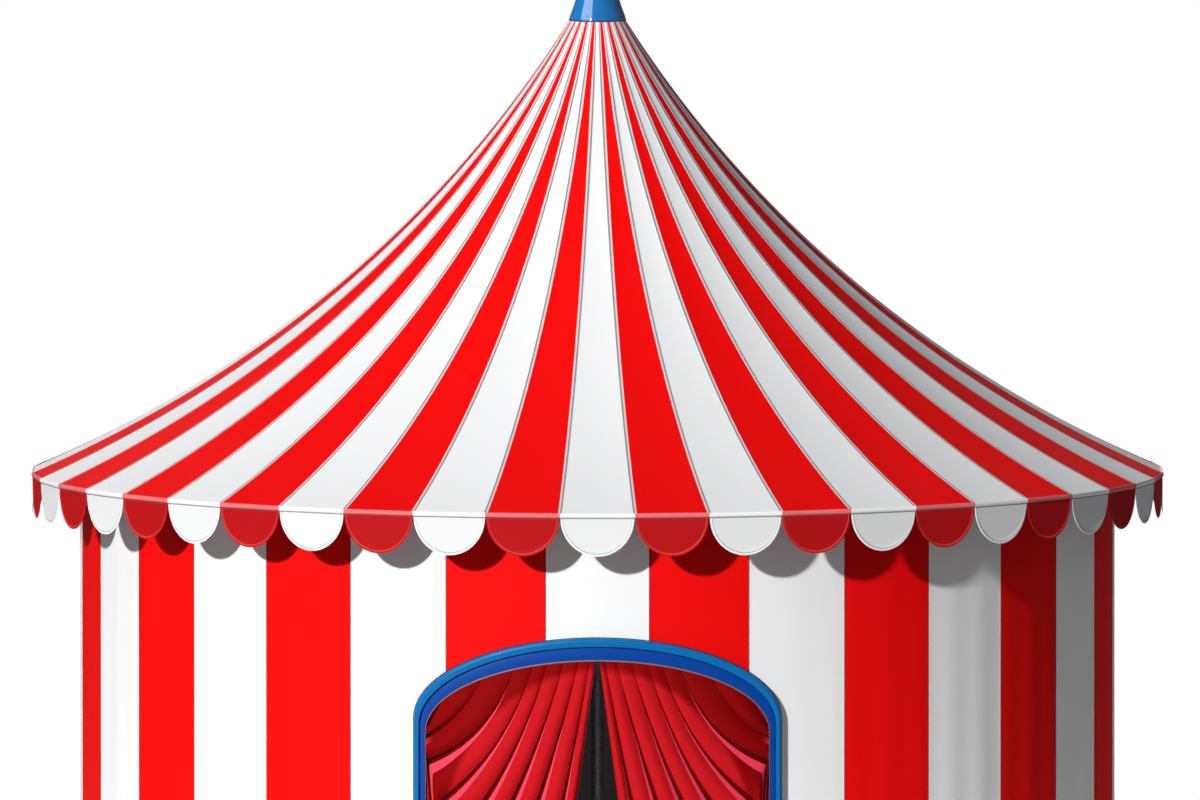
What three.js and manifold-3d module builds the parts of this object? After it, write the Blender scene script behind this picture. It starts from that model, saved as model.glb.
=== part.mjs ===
// A round circus tent: a king pole, a bell-shaped striped roof, a scalloped valance, a striped wall,
// and an arched doorway with two curtains drawn aside. Millimetres, +Z up, the doorway towards -Y.
import * as THREE from "three";
import { mergeVertices } from "three/addons/utils/BufferGeometryUtils.js";
import Module from "manifold-3d";

const wasm = await Module();
wasm.setup();

// Driving dimensions in millimetres. Bearings are in degrees, 0 at the doorway, growing towards +X.
const GAP = 0.3; // between pieces that touch
const EAVE = { radius: 5000, height: 4400 };
const CROWN = { radius: 250, height: 8380 }; // the top edge of the roof cloth
const ROOF_SAG = { radius: 1950, height: 5720 }; // the point that pulls the roof's curve in
const ROOF_CLOTH = 12;
const ROOF_STEPS = 11; // straight steps of the roof's curve from crown to eave
const ROOF_STRIPES = 48;
const ROOF_QUARTERS = 4;
const FIRST_LACE_LINE = 11; // half stripes from the doorway's middle to the first lace line

const WALL_RADIUS = 4570; // outer face
const WALL_CLOTH = 10;
const WALL_STRIPES = 32;
const WALL_FACETS = 2 * WALL_STRIPES;
const FRONT_BEARING = 28.125; // the wall's seams either side of the doorway
const WALL_SPANS = [4, 4, 4, 3, 4, 4, 4]; // stripes in each wall section, from the doorway round
const SPLIT_DROP = 120; // from the door arch's springing down to the wall's cross seam

const VALANCE = { cloth: 8, setIn: 2, band: 26, drop: 362, fit: 0.985, steps: 5 };

const BAYS = 8; // side poles, and sections of the eave ring
const HOOP = { tube: 30, sides: 10 };
const RAIL = { tube: 24, sides: 8 };
const RUNG = { tube: 18, sides: 8, bearings: [-18, 0, 18] };

const KING_POLE = { tube: 57, sides: 24 };
const KING_FOOT = { side: 500, plate: 15, socket: 150, wall: 9, reach: 120, web: 10, webTop: 130 };
const SIDE_POLE = { tube: 30, sides: 16 };
const SIDE_FOOT = { length: 140, width: 150, plate: 10, proud: -4 }; // proud of the pole's outer side
const SIDE_HEAD = { length: 110, width: 80, plate: 10, proud: 25 };

const CROWN_RING = { height: 70, wall: 20, hub: 80, web: 12, webHeight: 60, arms: 4 };
// The crown cap's outline as [radius, height above its rim], outside and then inside.
const CAP_HEIGHT = 850;
const CAP_OUTSIDE = [
  [256, 0],
  [256, 14],
  [246, 28],
  [150, 297],
  [36, CAP_HEIGHT],
];
const CAP_INSIDE = [
  [36, CAP_HEIGHT - 40],
  [140, 287],
  [196, 0],
];
const FINIAL = { base: 52, baseHeight: 18, neck: 22, neckHeight: 40, ball: 84, steps: 9 };

// The doorway's arches, each a half ellipse on upright sides.
const CLEAR_ARCH = { half: 1500, spring: 2450, crown: 3088 };
const LINING_ARCH = { half: 1557, spring: 2510, crown: 3208 };
const MOULDING_ARCH = { half: 1603, spring: 2555, crown: 3284 };
const TRACK_INSIDE = { half: 1530, spring: 2480, crown: 3140 };
const TRACK_OUTSIDE = { half: 1550, spring: 2500, crown: 3165 };
const ARCH_STEPS = 14;
const LINING_DEPTH = { inner: 4480, outer: 4625 }; // radii of the lining's two faces
const MOULDING_FACE = 4655;
const TRACK_DEPTH = 20;
const TRACK_END = 2300; // height of the track's two ends

const CURTAIN = { cloth: 90, parting: 6, floor: 12 };
// The curtain's free edge as [across, up]: the parting's lower end, the belly drawn aside to the waist,
// and the tail that falls from the waist to the floor.
const PARTING_END = [180, 1840];
const BELLY = [270, 1330, 760, 1190, 1215, 1075];
const TAIL = [1155, 760, 1020, 400, 1000, CURTAIN.floor];
const TIE_BACK = { cloth: 9.4, height: 1030, lift: 60 }; // the outer end is lifted to its hook
const TIE_BACK_ENDS = { inner: 1185, innerWidth: 100, outer: 1554, outerWidth: 50 };
const HOOK = { side: 26, sink: 20 };

// The cloth's stripes are only colour, so each solid takes the main colour of its cloth.
const ROOF_RED = 0xf20505;
const VALANCE_WHITE = 0xe5e7e6;
const WALL_WHITE = 0xf4f4f2;
const MOULDING_BLUE = 0x0070b8;
const LINING_BLUE = 0x0048a8;
const CAP_BLUE = 0x0071bd;
const STEEL_GREY = 0x9aa0a6;
const CURTAIN_RED = 0xd7191f;

const FAR = 7000; // beyond the tent in every direction
const HEADROOM = 50; // that a cutting shell keeps over what it cuts
const OVERLAP = 1; // that joined parts of one piece run into each other
const BAY_ANGLE = 360 / BAYS;
const HALF_STRIPE = 180 / ROOF_STRIPES;

const rad = THREE.MathUtils.degToRad;
const point = (x, y) => new THREE.Vector2(x, y);

// A closed geometry as a solid.
function solid(geometry) {
  const bare = geometry.clone();
  bare.deleteAttribute("normal");
  bare.deleteAttribute("uv");
  const merged = mergeVertices(bare, 1e-3);
  const corners = merged.index.array;
  const faces = [];
  for (let i = 0; i < corners.length; i += 3) {
    const [a, b, c] = corners.slice(i, i + 3);
    if (a !== b && b !== c && c !== a) faces.push(a, b, c);
  }
  const vertProperties = merged.attributes.position.array;
  return new wasm.Manifold(new wasm.Mesh({ numProp: 3, vertProperties, triVerts: new Uint32Array(faces) }));
}

// A solid as a named mesh with a material of its own.
function piece(name, body, color, roughness, metalness) {
  const { vertProperties, triVerts } = body.getMesh();
  const geometry = new THREE.BufferGeometry();
  geometry.setAttribute("position", new THREE.BufferAttribute(vertProperties, 3));
  geometry.setIndex(new THREE.BufferAttribute(triVerts, 1));
  geometry.computeVertexNormals();
  const mesh = new THREE.Mesh(geometry, new THREE.MeshStandardMaterial({ color, roughness, metalness }));
  mesh.name = name;
  return mesh;
}

const clothPiece = (name, body, color) => piece(name, body, color, 0.75, 0);
const paintedPiece = (name, body, color) => piece(name, body, color, 0.35, 0.1);
const steelPiece = (name, body) => piece(name, body, STEEL_GREY, 0.5, 0.8);

// A profile of [radius, height] points turned about the tent's axis. It closes on itself, or it starts
// and ends on the axis.
function turned(profile, facets, firstCorner = 0) {
  const points = profile.map(([r, z]) => point(r, z));
  if (points[0].x > 0) {
    if (THREE.ShapeUtils.area(points) < 0) points.reverse();
    points.push(points[0].clone());
  }
  const lathe = new THREE.LatheGeometry(points, facets, rad(firstCorner), 2 * Math.PI);
  return solid(lathe.rotateX(Math.PI / 2));
}

// The roof, the hoop and the valance share their facets, one to a stripe.
const turnedWithRoof = (profile) => turned(profile, ROOF_STRIPES, HALF_STRIPE);
const turnedWithWall = (profile) => turned(profile, WALL_FACETS);

const bandProfile = (inner, outer, low, high) => [
  [inner, low],
  [outer, low],
  [outer, high],
  [inner, high],
];

const tubeProfile = (radius, height, { tube, sides }) =>
  Array.from({ length: sides }, (_, i) => {
    const turn = (2 * Math.PI * i) / sides - Math.PI / 2;
    return [radius + tube * Math.cos(turn), height + tube * Math.sin(turn)];
  });

// The part of a solid between two bearings, half a gap clear of both.
function between(body, from, to) {
  const half = rad((to - from) / 2);
  const middle = rad((to + from) / 2);
  const setBack = GAP / 2 / Math.sin(half);
  const corner = (turn, reach) =>
    point(
      setBack * Math.sin(middle) + reach * Math.sin(turn),
      -setBack * Math.cos(middle) - reach * Math.cos(turn),
    );
  const wedge = [corner(0, 0), corner(rad(from), FAR), corner(middle, 2 * FAR), corner(rad(to), FAR)];
  const geometry = new THREE.ExtrudeGeometry(new THREE.Shape(wedge), {
    depth: 3 * FAR,
    bevelEnabled: false,
  });
  return body.intersect(solid(geometry.translate(0, 0, -FAR)));
}

// A flat outline, drawn as seen from the front, pushed back through the tent from one depth to the next.
function frontPrism(shape, near, far, curveSegments = ARCH_STEPS) {
  const depth = near - far;
  const geometry = new THREE.ExtrudeGeometry(shape, { depth, bevelEnabled: false, curveSegments });
  return solid(geometry.rotateX(Math.PI / 2).translate(0, -far, 0));
}

const box = (width, length, height, x, y, z) =>
  solid(new THREE.BoxGeometry(width, length, height).translate(x, y, z));

const post = ({ tube, sides }, low, high) =>
  solid(
    new THREE.CylinderGeometry(tube, tube, high - low, sides)
      .rotateX(Math.PI / 2)
      .translate(0, 0, (low + high) / 2),
  );

// The roof's curve from crown to eave on the cloth's outer face, and on its inner face.
const roofCurve = new THREE.QuadraticBezierCurve(
  point(CROWN.radius, CROWN.height),
  point(ROOF_SAG.radius, ROOF_SAG.height),
  point(EAVE.radius, EAVE.height),
);
const roofOutside = roofCurve.getPoints(ROOF_STEPS);
const roofInside = roofOutside.map((p, i) => {
  const along = roofCurve.getTangent(i / ROOF_STEPS);
  return point(p.x + along.y * ROOF_CLOTH, p.y - along.x * ROOF_CLOTH);
});

// The valance hangs under the roof's edge. The hoop lies against it and against the roof's last step.
const valanceInside = EAVE.radius - VALANCE.setIn - VALANCE.cloth;
const valanceTop = roofInside.at(-1).y - GAP;
const hoopRadius = valanceInside - GAP - HOOP.tube;
const lastStep = roofInside.at(-1).clone().sub(roofInside.at(-2)).normalize();
const roofUp = point(-lastStep.y, lastStep.x);
const hoopReach = Math.max(...tubeProfile(0, 0, HOOP).map(([r, z]) => r * roofUp.x + z * roofUp.y));
const hoopHeight =
  roofInside.at(-1).y + ((roofInside.at(-1).x - hoopRadius) * roofUp.x - hoopReach - GAP) / roofUp.y;

// The wall hangs under the rail, and the side poles stand inside the wall.
const railRadius = WALL_RADIUS - WALL_CLOTH / 2;
const headTop = hoopHeight - RAIL.tube - GAP;
const wallTop = headTop - SIDE_HEAD.plate - GAP;
const poleRadius = WALL_RADIUS - WALL_CLOTH - GAP - SIDE_POLE.tube;
const trackInside = LINING_DEPTH.inner - GAP - TRACK_DEPTH;
const curtainFront = trackInside - GAP;

const tent = new THREE.Group();

// A base plate with a webbed socket, and the pole that stands in it.
function addKingPole() {
  const socketInside = KING_POLE.tube + GAP;
  const low = KING_FOOT.plate - OVERLAP;
  let foot = box(KING_FOOT.side, KING_FOOT.side, KING_FOOT.plate, 0, 0, KING_FOOT.plate / 2);
  const socket = bandProfile(socketInside, socketInside + KING_FOOT.wall, low, KING_FOOT.socket);
  foot = foot.add(turned(socket, KING_POLE.sides));
  const webInside = socketInside + KING_FOOT.wall / 2;
  const web = new THREE.Shape([
    point(webInside, low),
    point(webInside + KING_FOOT.reach, low),
    point(webInside, KING_FOOT.webTop),
  ]);
  for (let i = 0; i < 4; i++) {
    const geometry = new THREE.ExtrudeGeometry(web, { depth: KING_FOOT.web, bevelEnabled: false })
      .translate(0, 0, -KING_FOOT.web / 2)
      .rotateX(Math.PI / 2)
      .rotateZ((i * Math.PI) / 2);
    foot = foot.add(solid(geometry));
  }
  tent.add(steelPiece("king_pole_foot", foot));
  const top = CROWN.height - CROWN_RING.height - GAP;
  tent.add(steelPiece("king_pole", post(KING_POLE, KING_FOOT.plate + GAP, top)));
}

// The cone-shaped ring that the roof cloth is clamped to, on arms from a hub that sits on the king pole.
function addCrownRing() {
  const step = roofInside[1].clone().sub(roofInside[0]).normalize();
  const lean = step.x / -step.y;
  const top = CROWN.height;
  const low = top - CROWN_RING.height;
  const topRadius = roofInside[0].x - (top - roofInside[0].y) * lean - GAP / -step.y;
  const lowRadius = topRadius + CROWN_RING.height * lean;
  let ring = turnedWithRoof([
    [topRadius, top],
    [lowRadius, low],
    [lowRadius - CROWN_RING.wall, low],
    [topRadius - CROWN_RING.wall, top],
  ]);
  ring = ring.add(post({ tube: CROWN_RING.hub, sides: KING_POLE.sides }, low, top));
  const reach = 2 * topRadius - CROWN_RING.wall;
  for (let i = 0; i < CROWN_RING.arms / 2; i++) {
    const arms = new THREE.BoxGeometry(reach, CROWN_RING.web, CROWN_RING.webHeight)
      .rotateZ((i * Math.PI) / 2)
      .translate(0, 0, low + CROWN_RING.height / 2);
    ring = ring.add(solid(arms));
  }
  tent.add(steelPiece("crown_ring", ring));
}

// A flared sheet-metal cap over the roof's top edge, and a ball on its tip.
function addCap() {
  const rim = CROWN.height + GAP;
  const raised = ([r, z]) => [r, rim + z];
  const outline = [[0, CAP_HEIGHT - 40], ...CAP_INSIDE, ...CAP_OUTSIDE, [0, CAP_HEIGHT]];
  tent.add(paintedPiece("crown_cap", turnedWithRoof(outline.map(raised)), CAP_BLUE));

  const { base, baseHeight, neck, neckHeight, ball, steps } = FINIAL;
  const seat = rim + CAP_HEIGHT + GAP;
  const start = Math.asin(neck / ball) - Math.PI / 2;
  const centre = seat + baseHeight + neckHeight - ball * Math.sin(start);
  const profile = [
    [0, seat],
    [base, seat],
    [base, seat + baseHeight / 2],
    [neck, seat + baseHeight],
  ];
  for (let i = 0; i < steps; i++) {
    const turn = start + ((Math.PI / 2 - start) * i) / steps;
    profile.push([ball * Math.cos(turn), centre + ball * Math.sin(turn)]);
  }
  profile.push([0, centre + ball]);
  tent.add(paintedPiece("finial", turned(profile, KING_POLE.sides), CAP_BLUE));
}

// One tongue of the valance with its share of the band, wider than a stripe so that the bands join.
function tongueShape(half) {
  const wide = half + OVERLAP;
  const bandLow = valanceTop - VALANCE.band;
  const narrow = half * VALANCE.fit;
  const shape = new THREE.Shape();
  shape.moveTo(wide, valanceTop + HEADROOM);
  shape.lineTo(-wide, valanceTop + HEADROOM);
  shape.lineTo(-wide, bandLow);
  shape.lineTo(-narrow, bandLow);
  shape.absellipse(0, bandLow, narrow, VALANCE.drop - VALANCE.band, Math.PI, 2 * Math.PI, false);
  shape.lineTo(wide, bandLow);
  return shape;
}

// The roof cloth and the valance, each in four laced quarters of twelve stripes.
function addRoof() {
  const canopy = turnedWithRoof([...roofOutside, ...roofInside.toReversed()].map((p) => [p.x, p.y]));
  const valanceOutside = valanceInside + VALANCE.cloth;
  const low = valanceTop - VALANCE.drop - OVERLAP;
  const skirt = turnedWithRoof(bandProfile(valanceInside, valanceOutside, low, valanceTop));
  const shape = tongueShape(valanceOutside * Math.sin(rad(HALF_STRIPE)));
  const tongue = frontPrism(shape, EAVE.radius + HEADROOM, valanceInside - HEADROOM, VALANCE.steps);
  const width = 360 / ROOF_QUARTERS;
  for (let i = 0; i < ROOF_QUARTERS; i++) {
    const from = i * width - FIRST_LACE_LINE * HALF_STRIPE;
    const to = from + width;
    tent.add(clothPiece(`canopy_quarter_${i + 1}`, between(canopy, from, to), ROOF_RED));
    const tongues = [];
    for (let middle = from + HALF_STRIPE; middle < to; middle += 2 * HALF_STRIPE) {
      tongues.push(tongue.rotate([0, 0, middle]));
    }
    const scalloped = skirt.intersect(tongues.reduce((all, next) => all.add(next)));
    tent.add(clothPiece(`valance_quarter_${i + 1}`, between(scalloped, from, to), VALANCE_WHITE));
  }
}

// Ladder sections: the outer hoop holds the roof's edge out, and the inner rail holds the wall up.
function addEaveRing() {
  const hoop = turnedWithRoof(tubeProfile(hoopRadius, hoopHeight, HOOP));
  const rail = turnedWithWall(tubeProfile(railRadius, hoopHeight, RAIL));
  const rung = new THREE.CylinderGeometry(RUNG.tube, RUNG.tube, hoopRadius - railRadius, RUNG.sides);
  rung.translate(0, -(hoopRadius + railRadius) / 2, hoopHeight);
  for (let i = 0; i < BAYS; i++) {
    const from = (i - 0.5) * BAY_ANGLE;
    const to = from + BAY_ANGLE;
    let section = between(hoop, from, to).add(between(rail, from, to));
    for (const bearing of RUNG.bearings) {
      section = section.add(solid(rung).rotate([0, 0, i * BAY_ANGLE + bearing]));
    }
    tent.add(steelPiece(`eave_ring_section_${i + 1}`, section));
  }
}

// A plate across a side pole, whose outer edge stands proud of the pole's outer side.
const crossPlate = ({ length, width, plate, proud }, low) =>
  box(width, length, plate, 0, length / 2 - SIDE_POLE.tube - proud, low + plate / 2);

function addSidePoles() {
  const pole = post(SIDE_POLE, 0, headTop - OVERLAP)
    .add(crossPlate(SIDE_FOOT, 0))
    .add(crossPlate(SIDE_HEAD, headTop - SIDE_HEAD.plate));
  for (let i = 0; i < BAYS; i++) {
    const bearing = rad((i + 0.5) * BAY_ANGLE);
    const mesh = steelPiece(`side_pole_${i + 1}`, pole);
    mesh.position.set(poleRadius * Math.sin(bearing), -poleRadius * Math.cos(bearing), 0);
    mesh.rotation.z = bearing;
    tent.add(mesh);
  }
}

// All that lies within an arch, grown by a margin, from front to back of the front wall.
function withinArch({ half, spring, crown }, margin) {
  const side = half + margin;
  const shape = new THREE.Shape();
  shape.moveTo(side, -HEADROOM);
  shape.lineTo(side, spring);
  shape.absellipse(0, spring, side, crown - spring + margin, 0, Math.PI, false);
  shape.lineTo(-side, -HEADROOM);
  return frontPrism(shape, FAR, 0);
}

// A band between two arches, bent to the wall's round plan.
function bentArch(outside, inside, innerFace, outerFace, low) {
  const shell = turnedWithWall(bandProfile(innerFace, outerFace, low, outside.crown + HEADROOM));
  return shell.intersect(withinArch(outside, 0)).subtract(inside);
}

function addWall() {
  const ring = turnedWithWall(bandProfile(WALL_RADIUS - WALL_CLOTH, WALL_RADIUS, 0, wallTop));
  let from = FRONT_BEARING;
  WALL_SPANS.forEach((stripes, i) => {
    const to = from + (stripes * 360) / WALL_STRIPES;
    tent.add(clothPiece(`wall_section_${i + 1}`, between(ring, from, to), WALL_WHITE));
    from = to;
  });
  const front = between(ring, -FRONT_BEARING, FRONT_BEARING).subtract(withinArch(LINING_ARCH, GAP));
  const split = LINING_ARCH.spring - SPLIT_DROP;
  const overDoor = front.intersect(box(2 * FAR, 2 * FAR, FAR, 0, 0, split + FAR / 2));
  tent.add(clothPiece("front_wall_over_door", overDoor, WALL_WHITE));
  for (const [name, side] of [["front_wall_left", -1], ["front_wall_right", 1]]) {
    const beside = box(FAR, 2 * FAR, FAR, (side * FAR) / 2, 0, split - GAP - FAR / 2);
    tent.add(clothPiece(name, front.intersect(beside), WALL_WHITE));
  }
}

// The lining that runs through the wall, with a hook at each side for the tie-backs, the moulding
// that clamps the wall to it outside, and the curtain track inside.
function addDoorFrame() {
  const hookHeight = TIE_BACK.height + TIE_BACK.lift;
  const hookSpan = bandProfile(
    curtainFront + TIE_BACK.cloth + 2 * GAP,
    LINING_DEPTH.inner + HOOK.sink,
    hookHeight - HOOK.side / 2,
    hookHeight + HOOK.side / 2,
  );
  const hookRing = turnedWithWall(hookSpan);
  const hookAcross = (CLEAR_ARCH.half + LINING_ARCH.half) / 2;
  let lining = bentArch(LINING_ARCH, withinArch(CLEAR_ARCH, 0), LINING_DEPTH.inner, LINING_DEPTH.outer, 0);
  for (const side of [-1, 1]) {
    lining = lining.add(hookRing.intersect(box(HOOK.side, FAR, FAR, side * hookAcross, -FAR / 2, 0)));
  }
  tent.add(paintedPiece("door_lining", lining, LINING_BLUE));
  const moulding = bentArch(
    MOULDING_ARCH,
    withinArch(LINING_ARCH, GAP),
    WALL_RADIUS + GAP,
    MOULDING_FACE,
    0,
  );
  tent.add(paintedPiece("door_moulding", moulding, MOULDING_BLUE));
  const track = bentArch(
    TRACK_OUTSIDE,
    withinArch(TRACK_INSIDE, 0),
    trackInside,
    LINING_DEPTH.inner - GAP,
    TRACK_END,
  );
  tent.add(steelPiece("curtain_track", track));
}

// The right curtain as seen from the front: along the track, down the parting, aside to the waist,
// and down the tail to the floor.
function curtainShape() {
  const { half, spring, crown } = TRACK_OUTSIDE;
  const parting = CURTAIN.parting / 2;
  const shape = new THREE.Shape();
  shape.moveTo(half, CURTAIN.floor);
  shape.lineTo(half, spring);
  shape.absellipse(0, spring, half, crown - spring, 0, Math.acos(parting / half), false);
  shape.lineTo(parting, CLEAR_ARCH.crown);
  shape.lineTo(...PARTING_END);
  shape.bezierCurveTo(...BELLY);
  shape.bezierCurveTo(...TAIL);
  return shape;
}

// The curtains hang behind the track, and a tie-back across each holds it aside to its hook.
function addCurtains() {
  const top = TRACK_OUTSIDE.crown + HEADROOM;
  const hung = turnedWithWall(bandProfile(curtainFront - CURTAIN.cloth, curtainFront, 0, top));
  const curtain = hung.intersect(frontPrism(curtainShape(), FAR, 0));
  const { cloth, height, lift } = TIE_BACK;
  const { inner, innerWidth, outer, outerWidth } = TIE_BACK_ENDS;
  const strip = new THREE.Shape([
    point(inner, height - innerWidth / 2),
    point(outer, height + lift - outerWidth / 2),
    point(outer, height + lift + outerWidth / 2),
    point(inner, height + innerWidth / 2),
  ]);
  const across = turnedWithWall(bandProfile(curtainFront + GAP, curtainFront + GAP + cloth, 0, top));
  const tie = across.intersect(frontPrism(strip, FAR, 0));
  tent.add(clothPiece("door_curtain_right", curtain, CURTAIN_RED));
  tent.add(clothPiece("door_curtain_left", curtain.mirror([1, 0, 0]), CURTAIN_RED));
  tent.add(clothPiece("tie_back_right", tie, MOULDING_BLUE));
  tent.add(clothPiece("tie_back_left", tie.mirror([1, 0, 0]), MOULDING_BLUE));
}

addKingPole();
addCrownRing();
addCap();
addRoof();
addEaveRing();
addSidePoles();
addWall();
addDoorFrame();
addCurtains();

export default tent;
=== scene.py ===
import math

import bpy
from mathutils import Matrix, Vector


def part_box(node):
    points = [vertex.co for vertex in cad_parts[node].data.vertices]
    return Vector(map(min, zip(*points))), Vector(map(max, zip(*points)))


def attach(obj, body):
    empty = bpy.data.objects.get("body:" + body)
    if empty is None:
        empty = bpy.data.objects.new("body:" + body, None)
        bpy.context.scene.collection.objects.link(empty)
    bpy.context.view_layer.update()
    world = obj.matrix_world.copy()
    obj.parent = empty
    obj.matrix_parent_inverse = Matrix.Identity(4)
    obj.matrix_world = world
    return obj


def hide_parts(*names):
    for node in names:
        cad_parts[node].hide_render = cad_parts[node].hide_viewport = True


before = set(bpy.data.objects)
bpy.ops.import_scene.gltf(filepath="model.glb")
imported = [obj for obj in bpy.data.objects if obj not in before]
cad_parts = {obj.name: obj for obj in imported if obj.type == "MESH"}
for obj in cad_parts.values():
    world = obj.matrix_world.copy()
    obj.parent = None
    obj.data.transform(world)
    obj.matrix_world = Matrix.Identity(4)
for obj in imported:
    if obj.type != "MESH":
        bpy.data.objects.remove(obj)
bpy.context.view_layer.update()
scene = bpy.context.scene

# The view is from far off, square to the doorway and a few degrees from above. It takes in the roof
# and the upper half of the doorway, and cuts off the cap's tip and the foot of the tent.
VIEW_AIM = Vector((0.022, 0, 5.020))
VIEW_DISTANCE = 330
VIEW_ELEVATION = 4.3
VIEW_WIDTH = 10.6


def towards(azimuth, elevation):
    """The direction from the tent to a point at this azimuth, 0 in front of the doorway."""
    a, e = math.radians(azimuth), math.radians(elevation)
    return Vector((math.sin(a) * math.cos(e), -math.cos(a) * math.cos(e), math.sin(e)))


camera_data = bpy.data.cameras.new("camera")
camera_data.lens = camera_data.sensor_width * VIEW_DISTANCE / VIEW_WIDTH
camera_data.clip_end = 3 * VIEW_DISTANCE
camera = bpy.data.objects.new("camera", camera_data)
camera.location = VIEW_AIM + towards(0, VIEW_ELEVATION) * VIEW_DISTANCE
camera.rotation_euler = (-towards(0, VIEW_ELEVATION)).to_track_quat("-Z", "Y").to_euler()
scene.collection.objects.link(camera)
scene.camera = camera

# Studio light. The key light stands in front on the left and throws the scallops' shadows down the
# wall, and a weak one lights the back. The backdrop is white.
scene.view_settings.view_transform = "Standard"
SUNS = {
    "key": {"azimuth": -30, "elevation": 21, "power": 3.95, "spread": 2.5},
    "back_fill": {"azimuth": 180, "elevation": 12, "power": 1.3, "spread": 30},
}


def sun(name, azimuth, elevation, power, spread):
    """A lamp that shines evenly from this side on the whole scene."""
    lamp = bpy.data.lights.new(name, "SUN")
    lamp.energy = power
    lamp.angle = math.radians(spread)
    light = bpy.data.objects.new(name, lamp)
    light.rotation_euler = (-towards(azimuth, elevation)).to_track_quat("-Z", "Y").to_euler()
    scene.collection.objects.link(light)
    return light


lamps = {name: sun(name, **values) for name, values in SUNS.items()}
lamps["back_fill"].visible_glossy = False


class Wire:
    """A value in a node tree. Arithmetic on it adds Math nodes to the tree."""

    def __init__(self, graph, socket):
        self.graph = graph
        self.socket = socket

    def math(self, operation, first, second=0.0):
        """The wire of a new Math node."""
        return self.graph.add("ShaderNodeMath", {0: first, 1: second}, operation=operation)

    def __add__(self, other):
        return self.math("ADD", self, other)

    __radd__ = __add__

    def __sub__(self, other):
        return self.math("SUBTRACT", self, other)

    def __rsub__(self, other):
        return self.math("SUBTRACT", other, self)

    def __mul__(self, other):
        return self.math("MULTIPLY", self, other)

    __rmul__ = __mul__

    def __truediv__(self, other):
        return self.math("DIVIDE", self, other)

    def __rtruediv__(self, other):
        return self.math("DIVIDE", other, self)

    def __mod__(self, other):
        return self.math("FLOORED_MODULO", self, other)

    def __rmod__(self, other):
        return self.math("FLOORED_MODULO", other, self)

    def __neg__(self):
        return self.math("MULTIPLY", self, -1)

    def __abs__(self):
        return self.math("ABSOLUTE", self)

    def __lt__(self, other):
        return self.math("LESS_THAN", self, other)

    def __gt__(self, other):
        return self.math("GREATER_THAN", self, other)

    def sin(self):
        return self.math("SINE", self)

    def cos(self):
        return self.math("COSINE", self)

    def sqrt(self):
        return self.math("SQRT", self)

    def floor(self):
        return self.math("FLOOR", self)

    def most(self, other):
        """This value, or the other where that is less."""
        return self.math("MINIMUM", self, other)

    def least(self, other):
        """This value, or the other where that is more."""
        return self.math("MAXIMUM", self, other)

    def fade(self, start, end):
        """0 at start, 1 at end, with a soft step between them."""
        values = {"Value": self, "From Min": start, "From Max": end}
        return self.graph.add("ShaderNodeMapRange", values, interpolation_type="SMOOTHSTEP")


class Graph:
    """A node tree. Every node in it is made by add()."""

    def __init__(self, tree):
        self.tree = tree
        tree.nodes.clear()

    def add(self, kind, inputs=None, output=0, **settings):
        """A new node of this type: its settings, then its inputs. Gives the wires of its outputs."""
        node = self.tree.nodes.new(kind)
        for setting, value in settings.items():
            setattr(node, setting, value)
        for key, value in (inputs or {}).items():
            wires = value if isinstance(value, list) else [value]
            for wire in wires:
                if isinstance(wire, Wire):
                    self.tree.links.new(wire.socket, node.inputs[key])
                else:
                    node.inputs[key].default_value = wire
        if isinstance(output, tuple):
            return tuple(Wire(self, node.outputs[i]) for i in output)
        return Wire(self, node.outputs[output]) if node.outputs else None


# The camera sees a white backdrop, and the tent is lit by a grey room.
BACKDROP_WHITE = (1, 1, 1, 1)
ROOM_GREY = (0.135, 0.138, 0.145, 1)
world = bpy.data.worlds.new("studio")
world.use_nodes = True
scene.world = world
graph = Graph(world.node_tree)
seen = graph.add("ShaderNodeLightPath")
room = graph.add("ShaderNodeBackground", {"Color": ROOM_GREY})
backdrop = graph.add("ShaderNodeBackground", {"Color": BACKDROP_WHITE})
mixed = graph.add("ShaderNodeMixShader", {0: seen, 1: room, 2: backdrop})
graph.add("ShaderNodeOutputWorld", {"Surface": mixed})


# The floor is a pale round mat that isn't part of the tent. Outside the wall it glows a little, which
# keeps it as white as the backdrop, and towards its rim it fades into the backdrop.
FLOOR_RADIUS = 16.5
FLOOR_SIDES = 128
SHARP_EDGE = 42
FADE_FROM, FADE_TO = 5.5, 16.4
GLOW_FROM, GLOW_TO = 4.57, 5.3
FLOOR_PALE = (0.80, 0.80, 0.79)
FLOOR_CLOUDED = (0.6, 0.6, 0.6)
FLOOR_GLOW = (0.44, 0.44, 0.45, 1)


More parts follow.
